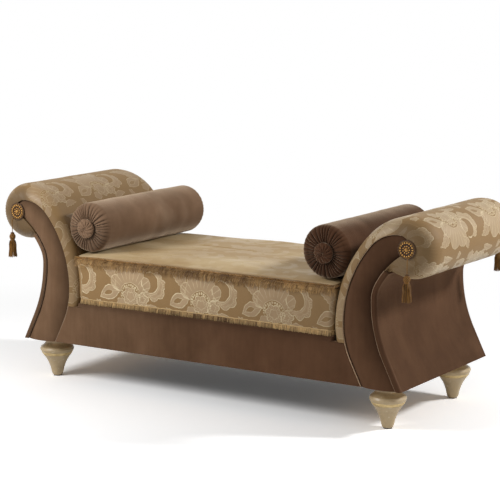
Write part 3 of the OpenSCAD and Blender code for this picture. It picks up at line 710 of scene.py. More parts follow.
def ladder(n, start=0):
    """Faces that close a ring of n points, half against half."""
    return [(start + i, start + i + 1, start + n - 2 - i, start + n - 1 - i) for i in range(n // 2 - 1)]


def at_y(line, y):
    return np.c_[line[:, 0], np.full(len(line), y), line[:, 1]]


def front_to_back(near, middle):
    """Rows (y, depth from the nearer end, kind) of one end, the middle and the other end."""
    ahead = [(d - HALF, d, kind) for d, kind in near]
    return ahead + middle + [(HALF - d, d, kind) for d, kind in reversed(near)]


def ring_loft(name, rings, look, **options):
    """A closed piece between rings of an even count of points, with laddered ends."""
    n, m = len(rings), len(rings[0])
    faces = quads(n, m, True) + ladder(m) + ladder(m, (n - 1) * m)
    return make(name, np.concatenate(rings), faces, look, **options)


face_gone = run(face[:, :2])
turn_share = unit(1 - np.minimum(face[:, 2], 90) / 90)
skin_side = beside(face, PAD_T)[:, :2]
skin_side[:2 * FINE + 1, 0] = WAIST_X + PAD_T
skin_side[:2 * FINE + 1, 1] = np.maximum(face[:2 * FINE + 1, 1], STRIP_Z + 0.002)
FOLD_PITCH = 0.012
FOLD_DEPTH = 0.0042
FOLD_REACH = 0.030
FACING_GAP = 0.002
# Depth from an end over which the pattern gives way to the scroll's folds
PLAIN_END = 0.06
# The scroll's crest comes after 16 steps of the face
CREST = 16 * FINE
# Distance up the cover of the middle of the pattern's first row
PATTERN_AT = 0.10


def arm_cover(side_name):
    """Patterned cover over an arm and its scroll, gathered in soft folds round the scroll's ends."""
    heading = np.radians(np.minimum(face[:, 2], 90))
    radius = EDGE_ROUND + (ROLL_ROUND - EDGE_ROUND) * turn_share
    way = facing_side - face[:, :2]
    room = np.linalg.norm(way, axis=1) - FACING_GAP
    way = normed(way)
    square = np.c_[np.sin(heading), -np.cos(heading)]
    past = unit((np.arange(len(face)) - CREST) / (6 * FINE))
    gather = np.sin(TURN * face_gone / FOLD_PITCH + 1.4 * np.sin(face_gone * 31) + 0.8)
    on_roll = unit((turn_share - 0.75) / 0.3)
    depths = sorted(set(np.round(np.r_[eased(ROLL_ROUND, 20), BAND_T], 5)))
    near = [(d, facing_side) for d in depths if d <= BAND_T]
    near += [(d, skin_side) for d in depths if d >= BAND_T]
    middle = np.linspace(ROLL_ROUND, 2 * HALF - ROLL_ROUND, 38)[1:-1]
    rows = front_to_back(near, [(d - HALF, ROLL_ROUND, skin_side) for d in middle])
    lines = []
    for y, d, inner in rows:
        fold = FOLD_DEPTH * np.exp(-d / FOLD_REACH) * on_roll * (0.5 + 0.5 * gather)
        t = np.minimum(rounding(radius, d) + fold, room)
        t = t + soft(0.0007, y, face_gone, 0.16, 5) * min(1, d / FOLD_REACH)
        share = (past * unit((d - BAND_T) / (ROLL_ROUND - BAND_T)))[:, None]
        outer = face[:, :2] + t[:, None] * normed((1 - share) * way + share * square)
        lines.append(np.r_[at_y(outer, y), at_y(inner[::-1], y)])
    steps = np.linalg.norm(np.diff(np.array(lines)[:, :len(face)], axis=0), axis=2)
    steps = np.r_[np.zeros((1, len(face))), np.cumsum(steps, axis=0)]
    across = steps - steps[len(steps) // 2]
    up = np.broadcast_to(face_gone - PATTERN_AT, across.shape)
    end_on = np.array([[max(0.0, 1 - row[1] / PLAIN_END)] for row in rows]) * on_roll
    cloth = np.stack([across, up, -end_on], axis=2)
    piece = ring_loft(side_name + "_arm_damask", lines, DAMASK, mirror=(SIDES[side_name], 1),
                      cloth=np.concatenate([cloth, cloth[:, ::-1]], axis=1))
    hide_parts(side_name + "_arm_cover", side_name + "_scroll_cover")


ACROSS = 0.5 - 0.5 * np.cos(np.linspace(0, pi, 26))
ROSETTE_R = 0.0335
ROSETTE_T = 0.005
ROSETTE_X = ROLL_X + 0.007
ROSETTE_Z = ROLL_Z + 0.003
FACING_PROUD = 0.007
# Distance from the rosette over which the facing rises to its full height
PROUD_RUN = 0.05
# Height over which the facing's painted shade comes in above its foot
PAINTED_SHADE_FROM = 0.18
PAINTED_SHADE_RUN = 0.12


def facing(side_name, end_name):
    """C-shaped padded facing, crowned between its two seams and flat under the rosette."""
    a = grounded(beside(edge, SEAM), BASE_Z)[:, :2]
    b = grounded(beside(neck, -SEAM), BASE_Z)[:, :2]
    off_middle = np.abs(2 * ACROSS - 1)
    seed = 3 if side_name == "left" else 4
    rings = []
    for low, high, gone in zip(a, b, run(a)):
        line = low + ACROSS[:, None] * (high - low)
        clear = unit((np.hypot(line[:, 0] - ROSETTE_X, line[:, 1] - ROSETTE_Z) - ROSETTE_R) / PROUD_RUN)
        y = (BAND_CROWN * off_middle ** 2.6 - HALF - FACING_PROUD * (1 - off_middle ** 2) * clear
             + soft(0.0006, ACROSS * BAND_W, gone, 0.07, seed))
        rings.append(np.r_[at_y(line, y), at_y(np.array([high, low]), -RIB_Y)])
    # Painted shade: dark along the seam on the right, away from the light, and thinly so along the other one
    near, far = (ACROSS, 1 - ACROSS) if side_name == "left" else (1 - ACROSS, ACROSS)
    dark = 0.80 * unit(1 - near / 0.6) ** 1.4 + 0.22 * np.exp(-far / 0.05)
    up = 0.35 + 0.65 * unit((b[:, 1] - PAINTED_SHADE_FROM) / PAINTED_SHADE_RUN)
    name = f"{side_name}_{end_name}_facing"
    piece = ring_loft(name + "_velvet", rings, VELVET, shade=up[:, None] * np.r_[dark, 0, 0],
                      mirror=(SIDES[side_name], -ENDS[end_name]))
    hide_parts(name)


SIDE_FLAT = 0.012
SIDE_INNER = 0.03
SIDE_MIDDLE = 0.28


def side_panel(side_name):
    """Velvet outside of the arm, wrapped a little way round to the front and the back."""
    ends = [(d, True) for d in eased(SIDE_ROUND, 8)]
    ends += [(SIDE_FLAT, True), (BAND_T, True), (BAND_T, False), (SIDE_INNER, False)]
    rows = front_to_back(ends, [(y, HALF, False) for y in np.linspace(-SIDE_MIDDLE, SIDE_MIDDLE, 30)])
    narrow = grounded(beside(side, SEAM), BASE_Z)
    thin = grounded(beside(side, SIDE_LAP - SIDE_T), BASE_Z)
    outwards = beside(side, 1)[:, :2] - side[:, :2]
    gone = run(side[:, :2])
    rings = []
    for y, d, wide in rows:
        outer = grounded(beside(side, SIDE_LAP - rounding(SIDE_ROUND, d)), BASE_Z)[:, :2]
        outer = outer - outwards * (soft(0.0012, y, gone, 0.2, 8) * min(1, d / 0.02))[:, None]
        rings.append(np.r_[at_y(outer, y), at_y((narrow if wide else thin)[::-1], y)])
    # Painted shade: the panel is darkened towards its foot
    dark = 0.34 * unit((0.52 - thin[:, 1]) / 0.18)
    piece = ring_loft(side_name + "_side_velvet", rings, VELVET, mirror=(SIDES[side_name], 1),
                      shade=np.tile(np.r_[dark, dark[::-1]], len(rings)))
    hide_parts(side_name + "_side_panel")


PIPE_R = 0.0022
PIPE_IN = 0.0030


def pipings(side_name):
    """Thin corded piping in the seams on both sides of a facing, front and back."""
    heap = Heap()
    seams = (grounded(neck, BASE_Z)[:-TUCK_STEPS * FINE], grounded(edge, BASE_Z)[:-2 * FINE])
    # Painted shade and highlight: each seam's cord has its own brightness, darkest in the left neck seam and
    # lightest on the right arm
    for path, tone in zip(seams, (0.22, 0.60) if side_name == "left" else (0.80, 1.0)):
        for end in ENDS.values():
            heap.tube(at_y(path, end * (HALF - PIPE_IN))[::2], PIPE_R, 8, tone, 2, 900, 0.12)
    piece = heap.build(side_name + "_pipings", PIPING, mirror=(SIDES[side_name], 1))


PANEL_TOP = CUSHION_Z
PANEL_ROUND = 0.006
PANEL_END = 0.012
PANEL_REACH = 0.55


def rail_panel(end_name):
    """Padded velvet panel over a long rail, between the two facings."""
    z_rows = np.r_[BASE_Z, BASE_Z + eased(PANEL_ROUND, 7, 0.2),
                   np.linspace(BASE_Z + PANEL_END, STRIP_Z - 0.0085, 22),
                   STRIP_Z - np.array([0.0065, 0.0045, 0.0025, SEAM, -0.0015]),
                   PANEL_TOP - eased(PANEL_ROUND, 7)[::-1]]
    low_line = grounded(beside(edge[:5 * FINE + 1], -SEAM), BASE_Z)
    reach = np.interp(z_rows, low_line[:, 1], low_line[:, 0])
    reach = np.where(z_rows < STRIP_Z, reach, WAIST_X - LOOSE)
    columns = np.r_[eased(PANEL_ROUND, 7), np.linspace(PANEL_END, PANEL_REACH, 44)]
    wall = np.where(z_rows < STRIP_Z, STRIP_Z - z_rows, 1.0)
    # Painted shadow of the cushion's hanging fringe along the top of the panel
    under = 0.65 * np.exp(-np.maximum(0, PANEL_TOP - 0.004 - z_rows) / 0.018)
    rings = []
    for sign, depths in ((-1, columns), (1, columns[::-1])):
        for d in depths:
            if d > PANEL_END:
                x = sign * reach * (1 - d / (PANEL_REACH + 0.0001))
            else:
                x = sign * np.maximum(reach - d, (PANEL_REACH - d) * reach / PANEL_REACH)
            near = np.minimum(np.minimum(z_rows - BASE_Z, PANEL_TOP - z_rows), d)
            near = np.where(np.abs(x) > WAIST_X - LOOSE, np.minimum(near, wall), near)
            y = rounding(PANEL_ROUND, np.maximum(near, 0)) - HALF
            y = y + soft(0.0012, x, z_rows, 0.14, 12) * unit(near / 0.02)
            front = np.c_[x, z_rows]
            rings.append(np.r_[at_y(front, y), at_y(front[::-1], -RIB_Y)])
    piece = ring_loft(end_name + "_rail_velvet", rings, VELVET, mirror=(1, -ENDS[end_name]),
                      shade=np.tile(np.r_[under, under[::-1]], len(rings)))
    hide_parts(end_name + "_panel")


# Seat

RUCHE_W = 0.010
RUCHE_H = 0.016
CORNER_R = 0.021
MIDDLE_Z = (CUSHION_Z + EDGE_Z) / 2
BORDER_Z = CUSHION_Z + RUCHE_H
BORDER_H = EDGE_Z - CUSHION_Z - 2 * RUCHE_H
BORDER_IN = 0.0035
BORDER_DENT = 0.0011
TOP_DENT = 0.0012
# Distance from the middle beyond which the arms hold the cushion's border
PRESSED_X = 0.52
# Distances from the edges at which its top swells freely and from the middle at which it stops
FREE_RUN = 0.10
SWELL_HALF = 0.34
LONG_COUNT = 110
SHORT_COUNT = 66


def half_len(z):
    past_waist = np.maximum(np.asarray(z, float) - WAIST_Z, 0)
    return WAIST_X - LOOSE + FACE_R - np.sqrt(FACE_R ** 2 - past_waist ** 2)


def outline(a, b, inset):
    """Closed outline of the cushion, its sides drawn in between round corners."""
    a, b = a - inset, b - inset
    r = max(CORNER_R - inset * 0.4, 0.004)
    q = np.radians(np.linspace(0, 90, 9)[1:-1])
    points = []
    for k in range(4):
        length, width, count = (b, a, SHORT_COUNT) if k % 2 else (a, b, LONG_COUNT)
        turn = k * pi / 2
        x = np.linspace(-(length - r), length - r, count)
        y = DRAW_IN * (1 - (x / length) ** 2) - width
        x, y = np.r_[x, length - r + r * np.sin(q)], np.r_[y, -(width - r) - r * np.cos(q)]
        points.append(np.c_[x * np.cos(turn) - y * np.sin(turn), x * np.sin(turn) + y * np.cos(turn)])
    return np.concatenate(points)


def crown(x, y):
    """Height of the cushion's top, which rises from all four sides."""
    height = CROWN_H
    for d in (half_len(EDGE_Z) - np.abs(x), HALF - np.abs(y)):
        height = height * (1 - (1 - unit(d / CROWN_RUN)) ** 2.4)
    return EDGE_Z + height


def seat_cushion():
    """Box cushion: patterned border with soft dents, crowned top and a rebate for each fringe."""
    rings, cloth = [], []

    def add(inset, z, border=False):
        ring = outline(float(half_len(z)), HALF, inset)
        if border:
            gone = run(np.r_[ring, ring[:1]])[:-1]
            gone = gone - gone[LONG_COUNT // 2]
            between = sin(pi * (z - CUSHION_Z) / (EDGE_Z - CUSHION_Z))
            dent = soft(BORDER_DENT, gone, z, 0.15, 21) * between
            ring = ring * (1 - dent / np.linalg.norm(ring, axis=1))[:, None]
            cloth.append(np.c_[gone, np.full(len(ring), z - MIDDLE_Z), np.ones(len(ring))])
        else:
            if z > WAIST_Z:
                z = crown(*ring.T) - soft(TOP_DENT, *ring.T, 0.2, 22)
            cloth.append(np.c_[ring, np.full(len(ring), 2.0)])
        rings.append(np.c_[ring, np.full(len(ring), z)])

    for inset in (0.26, 0.18, 0.10, 0.05, 0.02):
        add(inset, CUSHION_Z)
    for inset, z in ((RUCHE_W, CUSHION_Z), (RUCHE_W, BORDER_Z), (BORDER_IN, BORDER_Z)):
        add(inset, z, True)
    border_from = len(rings)
    for share in np.linspace(0, 1, 22)[1:-1]:
        add(BORDER_IN * (1 - min(1, 6 * share, 6 * (1 - share)) ** 0.6), BORDER_Z + share * BORDER_H, True)
    border_to = len(rings)
    for inset, z in ((BORDER_IN, EDGE_Z - RUCHE_H), (RUCHE_W, EDGE_Z - RUCHE_H), (RUCHE_W, EDGE_Z - 0.003)):
        add(inset, z, True)
    for inset in (0.0115, 0.014, 0.018):
        add(inset, EDGE_Z)
    top_from = len(rings)
    for inset in np.r_[0.024, np.linspace(0.032, 0.318, 27)]:
        add(inset, EDGE_Z)
    piece = ring_loft("seat_cushion_damask", rings, DAMASK, body="cushion", cloth=np.concatenate(cloth))
    x, y, z = np.concatenate(rings).T
    ring_no = np.repeat(np.arange(len(rings)), len(rings[0]))
    inside = np.minimum(half_len(EDGE_Z) - np.abs(x), HALF - np.abs(y))
    free_top = unit(inside / FREE_RUN) * np.cos(unit(np.abs(x) / SWELL_HALF) * pi / 2) ** 2
    share = unit((z - BORDER_Z) / BORDER_H)
    border = np.sin(pi * share) ** 0.6 * unit((PRESSED_X - np.abs(x)) / 0.04)
    on_border = (ring_no >= border_from) & (ring_no < border_to)
    swell(piece, np.where(ring_no >= top_from, free_top, np.where(on_border, border, 0.0)))
    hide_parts("seat_cushion")


SWELL_FRAMES = 20
SWELL_CAP = 0.010


def places(mesh):
    flat = np.zeros(len(mesh.vertices) * 3, np.float32)
    mesh.vertices.foreach_get("co", flat)
    return flat.reshape(-1, 3)


def swell(piece, room):
    """Lets a cover blow up from inside as cloth. room is how much of its way each point goes."""
    twin = add_object("swelling", piece.data.copy())
    held = twin.vertex_groups.new(name="held")
    held.add([int(i) for i in np.flatnonzero(room <= 0)], 1.0, "REPLACE")
    cloth = twin.modifiers.new("Cloth", "CLOTH")
    cloth.settings.vertex_group_mass = "held"
    cloth.settings.use_pressure = True
    cloth.settings.uniform_pressure_force = 4
    cloth.settings.effector_weights.gravity = 0
    cloth.settings.quality = 5
    cloth.settings.mass = 0.3
    cloth.settings.shrink_min = -0.012
    cloth.settings.bending_stiffness = 0.6
    cloth.point_cache.frame_end = SWELL_FRAMES
    for frame_no in range(1, SWELL_FRAMES + 1):
        scene.frame_set(frame_no)
    start = places(piece.data)
    way = places(twin.evaluated_get(bpy.context.evaluated_depsgraph_get()).to_mesh()) - start
    way = way * np.maximum(room, 0)[:, None]
    far = np.linalg.norm(way, axis=1)
    way *= (SWELL_CAP * np.tanh(far / SWELL_CAP / 2) / np.maximum(far, 1e-9))[:, None]
    piece.data.vertices.foreach_set("co", (start + way).reshape(-1))
    piece.data.update()
    scene.frame_set(1)
    bpy.data.objects.remove(twin)


TUFT_PITCH = 0.0125
FRINGE_IN = 0.0052
STRAND_SHIFT = 0.0006
BRUSH_SWAY = 0.0016
BRUSH_DROOP = 0.0030
# Rows of the standing brush, from the lowest: rise against reach, length and brightness, which paints shade
# on the low rows and light on the top ones
BRUSH_ROWS = ((-2.2, 0.030, 0.70), (-0.8, 0.022, 0.72), (0.1, 0.017, 0.92), (1.0, 0.015, 1.2))


def fringe(name, z, look, hanging):
    """Brush of cut strands sewn round an edge of the cushion, hanging or standing out."""
    heap = Heap()
    ring = outline(float(half_len(z)), HALF, FRINGE_IN)
    closed = np.r_[ring, ring[:1]]
    gone = run(closed)
    trip = TURN * gone / gone[-1]
    level = z + (0 if hanging else BRUSH_SWAY) * np.sin(9 * trip) * np.cos(5 * trip)
    cord, tone = (0.0042, 0.75) if hanging else (0.0036, 0.3)
    heap.tube(np.c_[closed, level][::2], cord, 8, tone, 2, 260, 0.3)
    spacing, rows, thick, sides = (0.0030, 2, 0.0014, 4) if hanging else (0.0017, 4, 0.0008, 3)
    tufts = np.random.default_rng(90 if hanging else 91)
    tuft_at = np.arange(0, gone[-1] + 0.02, TUFT_PITCH)
    tuft_shade, tuft_lean, tuft_len = (tufts.uniform(-1, 1, len(tuft_at)) for _ in range(3))
    count = int(gone[-1] / spacing)
    for row in range(rows):
        at = (np.arange(count) + 0.5 * (row % 2)) * spacing + rng.uniform(-STRAND_SHIFT, STRAND_SHIFT, count)
        base, ahead = [np.c_[[np.interp(s, gone, closed[:, k]) for k in (0, 1)]].T for s in (at, at + 0.002)]
        along = normed(ahead - base)
        out = np.c_[along[:, 1], -along[:, 0]]
        base = np.c_[base, np.interp(at, gone, level)]
        beside_arm = np.abs(out[:, 0]) > 0.7
        lean = rng.normal(0, 0.14, count) + 0.16 * np.interp(at, tuft_at, tuft_lean)
        drawn = 1 + 0.14 * np.interp(at, tuft_at, tuft_len)
        tint = 0.24 * np.interp(at, tuft_at, tuft_shade) + 0.14 * np.sin(at * 7 + 1.2)
        for k in range(count):
            side_way = along[k] * lean[k]
            if hanging:
                length, droop, painted_row_light = rng.uniform(0.018, 0.022), 0.0, 1
                flare_out = 0.02 if beside_arm[k] else 0.12 + 0.10 * row
                way = np.r_[out[k] * flare_out + side_way * 0.5, -1.0]
                start = base[k] + [0, 0, 0.001]
            else:
                up, length, painted_row_light = BRUSH_ROWS[row]
                up, droop = up + rng.normal(0, 0.16), -BRUSH_DROOP
                length = length * rng.uniform(0.82, 1.08) * drawn[k]
                if beside_arm[k]:
                    up, length = 2.5, 0.008
                way = np.r_[out[k] + side_way, up]
                start = base[k]
            way = way / np.linalg.norm(way)
            path = [start, start + way * length * 0.55, start + way * length + [0, 0, droop]]
            shade = unit(rng.uniform(0.15, 0.95) * painted_row_light + tint[k])
            heap.tube(path, [thick, thick * 0.94, thick * 0.65], sides, shade)
    piece = heap.build(name + "_strands", look, body="cushion", sharp=80)
    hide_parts(name)


# Bolsters

BOLSTER_R = 0.092
BOLSTER_LEN = 0.640
BOLSTER_ROUND = 0.026
PLEATS = 18
WELL = 0.004
END_PUFF = 0.004
BUTTON_R = 0.038
BUTTON_PUFF_R = 0.0365
BUTTON_PUFF_H = 0.0135
BUTTON_SEAT = 0.013
BUTTON_FOLD = 0.0052
# Radius at which the pleats come out from under the button, and their greatest depth
GATHER_R = BUTTON_R - 0.006
GATHER_FOLD = 0.0075
EDGE_FOLD = 0.0052
BODY_FOLD = 0.0004
END_BULGE = 0.0024
BOLSTER_AT = {side_name: sum(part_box(side_name + "_bolster"), Vector()) / 2 for side_name in SIDES}


def bolster(side_name):
    """Velvet roll whose ends are gathered in uneven pleats under a covered button."""
    seed = 30 if side_name == "left" else 31
    uneven = np.random.default_rng(seed)
    a = circle(PLEATS * 24)
    wobble = 0.055 * np.sin(3 * a + uneven.uniform(0, 6)) + 0.035 * np.sin(7 * a + uneven.uniform(0, 6))
    pleat = np.abs(np.sin(PLEATS * (a + wobble))) ** 0.5
    deep = (1 - pleat) * np.interp(a, np.linspace(0, TURN, 73), uneven.uniform(0.45, 1.25, 73))
    # Stations from an end's middle to the body's: depth, radius and depth of the pleats
    stations = []
    for s in np.linspace(0, 1, 16):
        stations.append((WELL * (1 - s) ** 2 - END_BULGE * sin(pi * min(1, s * 1.1)),
                         GATHER_R + s * (BOLSTER_R - BOLSTER_ROUND - GATHER_R),
                         GATHER_FOLD * sin(pi * (0.15 + 0.62 * s))))
    for q in np.radians(np.linspace(8, 90, 10)):
        stations.append((BOLSTER_ROUND * (1 - cos(q)), BOLSTER_R - BOLSTER_ROUND * (1 - sin(q)),
                         EDGE_FOLD * cos(q) ** 1.8 + BODY_FOLD))
    stations += [(y, BOLSTER_R, BODY_FOLD * exp(-(y - BOLSTER_ROUND) / 0.035))
                 for y in np.linspace(BOLSTER_ROUND, BOLSTER_LEN / 2, 24)[1:]]
    free = np.maximum(0, (np.cos(a) - SIDES[side_name] * np.sin(a)) / sqrt(2))
    # Painted shade on the roll's underside
    painted_underside_shade = 0.45 * np.clip(0.45 - np.cos(a), 0, 1.1)
    half, painted_shades = [], []
    for y, r, fold in stations:
        inward = min(1.0, max(0.0, y / BOLSTER_ROUND))
        rr = r - deep * fold * (0.25 + 0.75 * inward) + 0.005 * free * r / BOLSTER_R
        rr = rr - soft(0.0009, a * BOLSTER_R, y, 0.12, seed) * inward
        yy = y + deep * fold * (1 - 0.8 * inward) - END_PUFF * max(0.0, 1 - y / 0.12)
        half.append(np.c_[rr * np.sin(a), yy - BOLSTER_LEN / 2, rr * np.cos(a)])
        # Painted shade in the pleats' grooves and on the underside
        painted_shades.append(unit(deep * min(1.0, fold / 0.0045) + painted_underside_shade))
    rings = [r + BOLSTER_AT[side_name] for r in half + [r * [1, -1, 1] for r in half[-2::-1]]]
    piece = ring_loft(side_name + "_bolster_velvet", rings, LIT_BOLSTER_VELVET, body=side_name + "_bolster_body",
                      shade=np.concatenate(painted_shades + painted_shades[-2::-1]))
    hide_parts(side_name + "_bolster")


def buttons(side_name):
    """Covered buttons: puffed velvet twisted into soft folds."""
    heap = Heap()
    m, n = 120, 26
    a = circle(m)
    for end in ENDS.values():
        rings, painted_shades = [], []
        for s in np.linspace(0, 1, n):
            q = pi * 0.62 * (1 - s)
            r = BUTTON_PUFF_R * (sin(q) if q < pi / 2 else 1 - 0.35 * (1 - sin(q)))
            swirl = 0.9 * s * s + 0.22 * np.sin(2 * a + end)
            folds = np.abs(np.sin(5.5 * (a + swirl))) ** 0.55 + 0.35 * np.abs(np.sin(8 * a - 1.2 * s + 1))
            bulge = (folds / 1.35 - 1) * BUTTON_FOLD * sin(pi * min(1, 0.18 + 0.82 * (1 - s)))
            lift = bulge * 0.9 * (1 if s > 0.3 else 0.4)
            out = np.maximum(BUTTON_SEAT + BUTTON_PUFF_H * cos(q) + lift, 0.0003)
            rings.append(hoop(np.maximum(r + bulge * 0.8, 0.0004), a,
                              end * (BOLSTER_LEN / 2 - WELL + END_PUFF + out)))
            # Painted shade in the grooves between the folds
            painted_shades.append(unit(1 - folds / 0.75))
        heap.add(np.array(rings) + BOLSTER_AT[side_name], barrel(n, m), np.concatenate(painted_shades))
    piece = heap.build(side_name + "_bolster_choux", LIT_BOLSTER_VELVET, body=side_name + "_bolster_body")
    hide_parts(side_name + "_bolster_buttons")


# Rosettes and tassels

CORD_D = 0.0036
CORD_LEAD = 0.006
CORD_BEND = 0.009
CORD_DROP = 0.042
EXIT = (ROSETTE_X + 0.012, HALF + ROSETTE_T + 0.0003, 0.612232)
HEAD_H = 0.032
SKIRT_H = 0.064
# Route of a tassel's cord as distance out from the rosette and height: it bends down,
# hangs straight and runs on through the tassel's head
CORD_ROUTE = ([(0, 0), (CORD_LEAD / 2, 0), (CORD_LEAD, 0)]
              + [(CORD_LEAD + CORD_BEND * sin(q), CORD_BEND * (cos(q) - 1))
                 for q in np.radians(np.arange(7.5, 91, 7.5))]
              + [(CORD_LEAD + CORD_BEND, -CORD_BEND - s * CORD_DROP) for s in (0.2, 0.4, 0.6, 0.8, 1)]
              + [(CORD_LEAD + CORD_BEND, -CORD_BEND - CORD_DROP - s * HEAD_H) for s in (0.5, 1)])
# Corded rings of a rosette: radius, points, height, thickness, sides, shade and twist
CORD_RINGS = ((0.0308, 240, 0.0024, 0.0030, 8, 0.04, 420), (0.0276, 220, 0.0040, 0.0008, 6, 0.55, 900),
              (0.0176, 160, 0.0040, 0.0020, 8, 0.03, 420))
# Rings of beads: count, radius, size and shade
BEAD_RINGS = ((17, 0.0228, 0.0029, 1.0), (9, 0.0118, 0.0027, 0.9))
BEAD_AT = 0.0046
KNOT_R = 0.0058


def rosette(side_name, end_name):
    """Passementerie disc: beaded and twisted rings round a wound centre knot."""
    heap = Heap()
    plate = [hoop(r, circle(72), -y)
             for r, y in ((0.0318, 0.0), (0.0322, 0.0022), (0.020, 0.0034), (0.0002, 0.0036))]
    heap.add(plate, quads(4, 72, True) + [tuple(range(72))])
    for radius, count, out, thick, sides, shade, twist in CORD_RINGS:
        heap.tube(hoop(radius, np.linspace(0, TURN, count), -out), thick, sides, shade, 2, twist, 0.3)
    for count, radius, size, shade in BEAD_RINGS:
        for centre in hoop(radius, circle(count), -BEAD_AT):
            ball = [centre + hoop(size * sin(p), circle(8), -size * cos(p))
                    for p in np.linspace(0.15, pi - 0.15, 5)]
            heap.add(ball, barrel(5, 8), shade)
    for k, tilt in enumerate(np.linspace(0, pi, 7, endpoint=False)):
        q = np.linspace(0, pi, 14)
        across = KNOT_R * np.cos(q)
        arch = np.c_[across * cos(tilt), -0.0036 - KNOT_R * np.sin(q), across * sin(tilt)]
        heap.tube(arch, 0.0014, 6, 0.45 + 0.08 * k, 2, 900, 0.2)
    name = f"{side_name}_{end_name}_rosette"
    piece = heap.build(name + "_braid", BRAID, (ROSETTE_X, -HALF, ROSETTE_Z),
                       mirror=(SIDES[side_name], -ENDS[end_name]))
    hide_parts(name)


# Outline of a tassel's head and of the core under its skirt: radius and depth from the top
TASSEL_CORE = ((0.0022, 0.0), (0.006, 0.0015), (0.0078, 0.004), (0.0062, 0.0068), (0.0086, 0.0095),
               (0.0104, 0.0135), (0.0108, 0.018), (0.0100, 0.0225), (0.0080, 0.026), (0.0069, 0.0285),
               (0.0078, 0.0318), (0.0098, 0.034), (0.0100, 0.040), (0.0108, 0.055), (0.004, 0.056))
# Cords bound round the head: depth, radius, thickness and shade
BINDINGS = ((0.0068, 0.0064, 0.0012, 0.9), (0.0285, 0.0072, 0.0013, 0.95), (0.0265, 0.0080, 0.0011, 0.4),
            (0.0306, 0.0078, 0.0011, 0.6))
# Layers of the skirt: count of strands, radius at the top and at the hem
SKIRT_LAYERS = ((44, 0.0098, 0.0158), (34, 0.0075, 0.0120))


def tassel(side_name, end_name):
    """Silk tassel on a twisted cord: a netted head, a bound neck and a skirt of bullion strands."""
    name = f"{side_name}_{end_name}"
    body = name + "_tassel_body"
    flip = (SIDES[side_name], -ENDS[end_name])
    route = [(EXIT[0], -(EXIT[1] + out), EXIT[2] + up) for out, up in CORD_ROUTE]
    heap = Heap()
    gone = run(route)
    at = np.linspace(0, gone[-1], 60)
    heap.tube(np.c_[[np.interp(at, gone, axis) for axis in zip(*route)]].T, CORD_D / 2, 8, 0.6, 2, 700, 0.25)
    cord = heap.build(name + "_tassel_cord", RUST_YARN, body=body, mirror=flip)
    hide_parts(name + "_cord")

    def ring(radius, angles, depth):
        return hoop(radius, angles, -depth)[:, [0, 2, 1]]

    heap = Heap()
    heap.add([ring(r, circle(40), h) for r, h in TASSEL_CORE], barrel(len(TASSEL_CORE), 40), 0.15)
    s = np.linspace(0, 1, 16)
    h = 0.0085 + s * 0.018
    r = np.interp(h, [p[1] for p in TASSEL_CORE], [p[0] for p in TASSEL_CORE]) + 0.0004
    for start in circle(10):
        for way in (1, -1):
            heap.tube(ring(r, start + way * s * 1.5, h), 0.0007, 5, 0.85)
    for h, r, size, shade in BINDINGS:
        heap.tube(ring(r, np.linspace(0, TURN, 60), h), size, 6, shade, 2, 900, 0.25)
    draws = np.random.default_rng(70 + 2 * (side_name == "left") + (end_name == "front"))
    s = np.linspace(0, 1, 9)
    bulge = 0.0022 * np.sin(pi * np.minimum(1, s * 2.2)) * (s < 0.45)
    for count, top_r, low_r in SKIRT_LAYERS:
        for k in range(count):
            q = TURN * (k + draws.uniform(-0.3, 0.3)) / count
            length = SKIRT_H * draws.uniform(0.93, 0.995)
            spread = top_r + (low_r - top_r) * s ** 0.9 + bulge
            spread = spread + 0.0005 * np.sin(6 * s + draws.uniform(0, 6))
            q = q + 0.05 * np.sin(3 * s + draws.uniform(0, 6)) / (1 + s)
            strand = ring(spread, q, HEAD_H + s * length)
            heap.tube(strand, 0.00085, 5, draws.uniform(0.15, 0.95), 2, 800, 0.25)
    top = (EXIT[0], route[-1][1], EXIT[2] - CORD_BEND - CORD_DROP - 0.0003)
    skirt = heap.build(name + "_tassel_silk", RUST_YARN, top, body=body, mirror=flip)
    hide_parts(name + "_tassel")
    [(p[0] * flip[0], p[1] * flip[1], p[2]) for p in route]


# Deck and dust cover

def deck():
    """Felted deck pad with softly rounded edges, under the cushion."""
    low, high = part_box("seat_deck")
    rings = []
    for z, inset in ((low.z, 0.004), (low.z + 0.003, 0.0), (high.z - 0.008, 0.0), (high.z - 0.0045, 0.0008),
                     (high.z - 0.002, 0.003), (high.z - 0.0006, 0.007), (high.z, 0.014), (high.z, 0.06),
                     (high.z, 0.14), (high.z, 0.26)):
        ring = outline(high.x, high.y, inset)
        if inset > 0.01:
            z = z - soft(0.0008, *ring.T, 0.15, 41)
        rings.append(np.c_[ring, np.full(len(ring), z)])
    piece = ring_loft("seat_deck_felt", rings, FELT)
    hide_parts("seat_deck")


def dust_cover():
    """Black cambric tacked under the rails, with a slight sag between them."""
    low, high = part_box("dust_cover")
    n, m = 40, 64
    y, x = np.meshgrid(np.linspace(low.y, high.y, n), np.linspace(low.x, high.x, m), indexing="ij")
    sag = 0.0006 * (1 - (x / high.x) ** 2) * (1 - (y / high.y) ** 2) * (1 + 0.5 * ripple(x, y, 0.15, 44))
    points = np.stack([x, y, high.z - 0.0003 - sag], axis=2)
    piece = make("dust_cover_cambric", points, quads(n, m), CAMBRIC)
    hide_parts("dust_cover")


for side_name in SIDES:
    arm_cover(side_name)
    side_panel(side_name)
    pipings(side_name)
    for end_name in ENDS:
        facing(side_name, end_name)
for end_name in ENDS:
    rail_panel(end_name)
seat_cushion()
fringe("top_ruche", EDGE_Z - 0.0085, BRUSH, False)
fringe("bottom_ruche", CUSHION_Z + 0.0195, GOLD_YARN, True)
for side_name in SIDES:
    bolster(side_name)
    buttons(side_name)
    for end_name in ENDS:
        rosette(side_name, end_name)
        tassel(side_name, end_name)
deck()
dust_cover()


# Stage and light

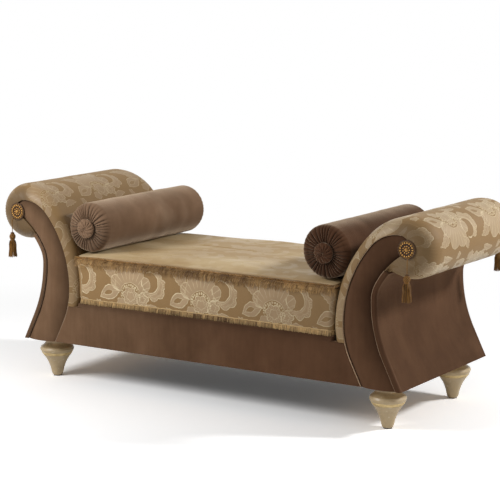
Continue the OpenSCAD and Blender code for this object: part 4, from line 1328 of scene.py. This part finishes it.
def seen_rays():
    """1 for what the camera sees straight, in a reflection or through something clear."""
    rays = add_node("LightPath")
    return most(*[Field(rays.outputs[f"Is {kind} Ray"]) for kind in ("Camera", "Glossy", "Transmission")])


def both(kind, a, b, **values):
    """Two shaders added or mixed."""
    node = add_node(kind, **values)
    feed(node.inputs[-2], a.outputs[0])
    feed(node.inputs[-1], b.outputs[0])
    return node


def stage():
    """Pale floor that keeps the object's soft shadow and fades into a white surround."""
    look = begin("floor")
    seen = seen_rays()
    x, y, _ = split(place((1 / 1.9, 1 / 1.3, 1)))
    far = step(0.55, 1.5, calc("SQRT", x * x + y * y))
    matte = add_node("BsdfDiffuse", Color=(0.80, 0.80, 0.80, 1))
    pale = add_node("BsdfDiffuse", Color=(1.3, 1.3, 1.3, 1))
    lift = add_node("Emission", Color=(1, 1, 1, 1), Strength=0.03)
    glow = add_node("Emission", Color=(1, 1, 1, 1), Strength=1.0)
    near = both("MixShader", matte, both("AddShader", pale, lift), Fac=seen)
    add_node("OutputMaterial", Surface=both("MixShader", near, glow, Fac=seen * far).outputs[0])
    mesh = bpy.data.meshes.new("floor")
    mesh.from_pydata([(-14, -14, 0), (14, -14, 0), (14, 14, 0), (-14, 14, 0)], [], [(0, 1, 2, 3)])
    mesh.materials.append(look)
    floor = add_object("floor", mesh)

    scene.world = begin("surround", bpy.data.worlds)
    room = add_node("Background", Color=(1, 1, 1, 1), Strength=0.30)
    white = add_node("Background", Color=(1, 1, 1, 1), Strength=1.0)
    add_node("OutputWorld", Surface=both("MixShader", room, white, Fac=seen_rays()).outputs[0])


def lamp(name, at, target, size, power):
    light = bpy.data.lights.new(name, "AREA")
    light.shape = "DISK"
    light.size = size
    light.energy = power
    aim(add_object(name, light), at, Vector(target) - Vector(at))


stage()
lamp("key", (-1.6, -2.3, 2.1), (-0.3, 0, 0.4), 1.3, 62)
lamp("fill", (3.9, -0.5, 0.8), (0, 0, 0.4), 2.6, 13)
lamp("back", (3.4, 1.7, 2.8), (0, 0, 0.45), 0.6, 115)
scene.view_settings.view_transform = "Standard"
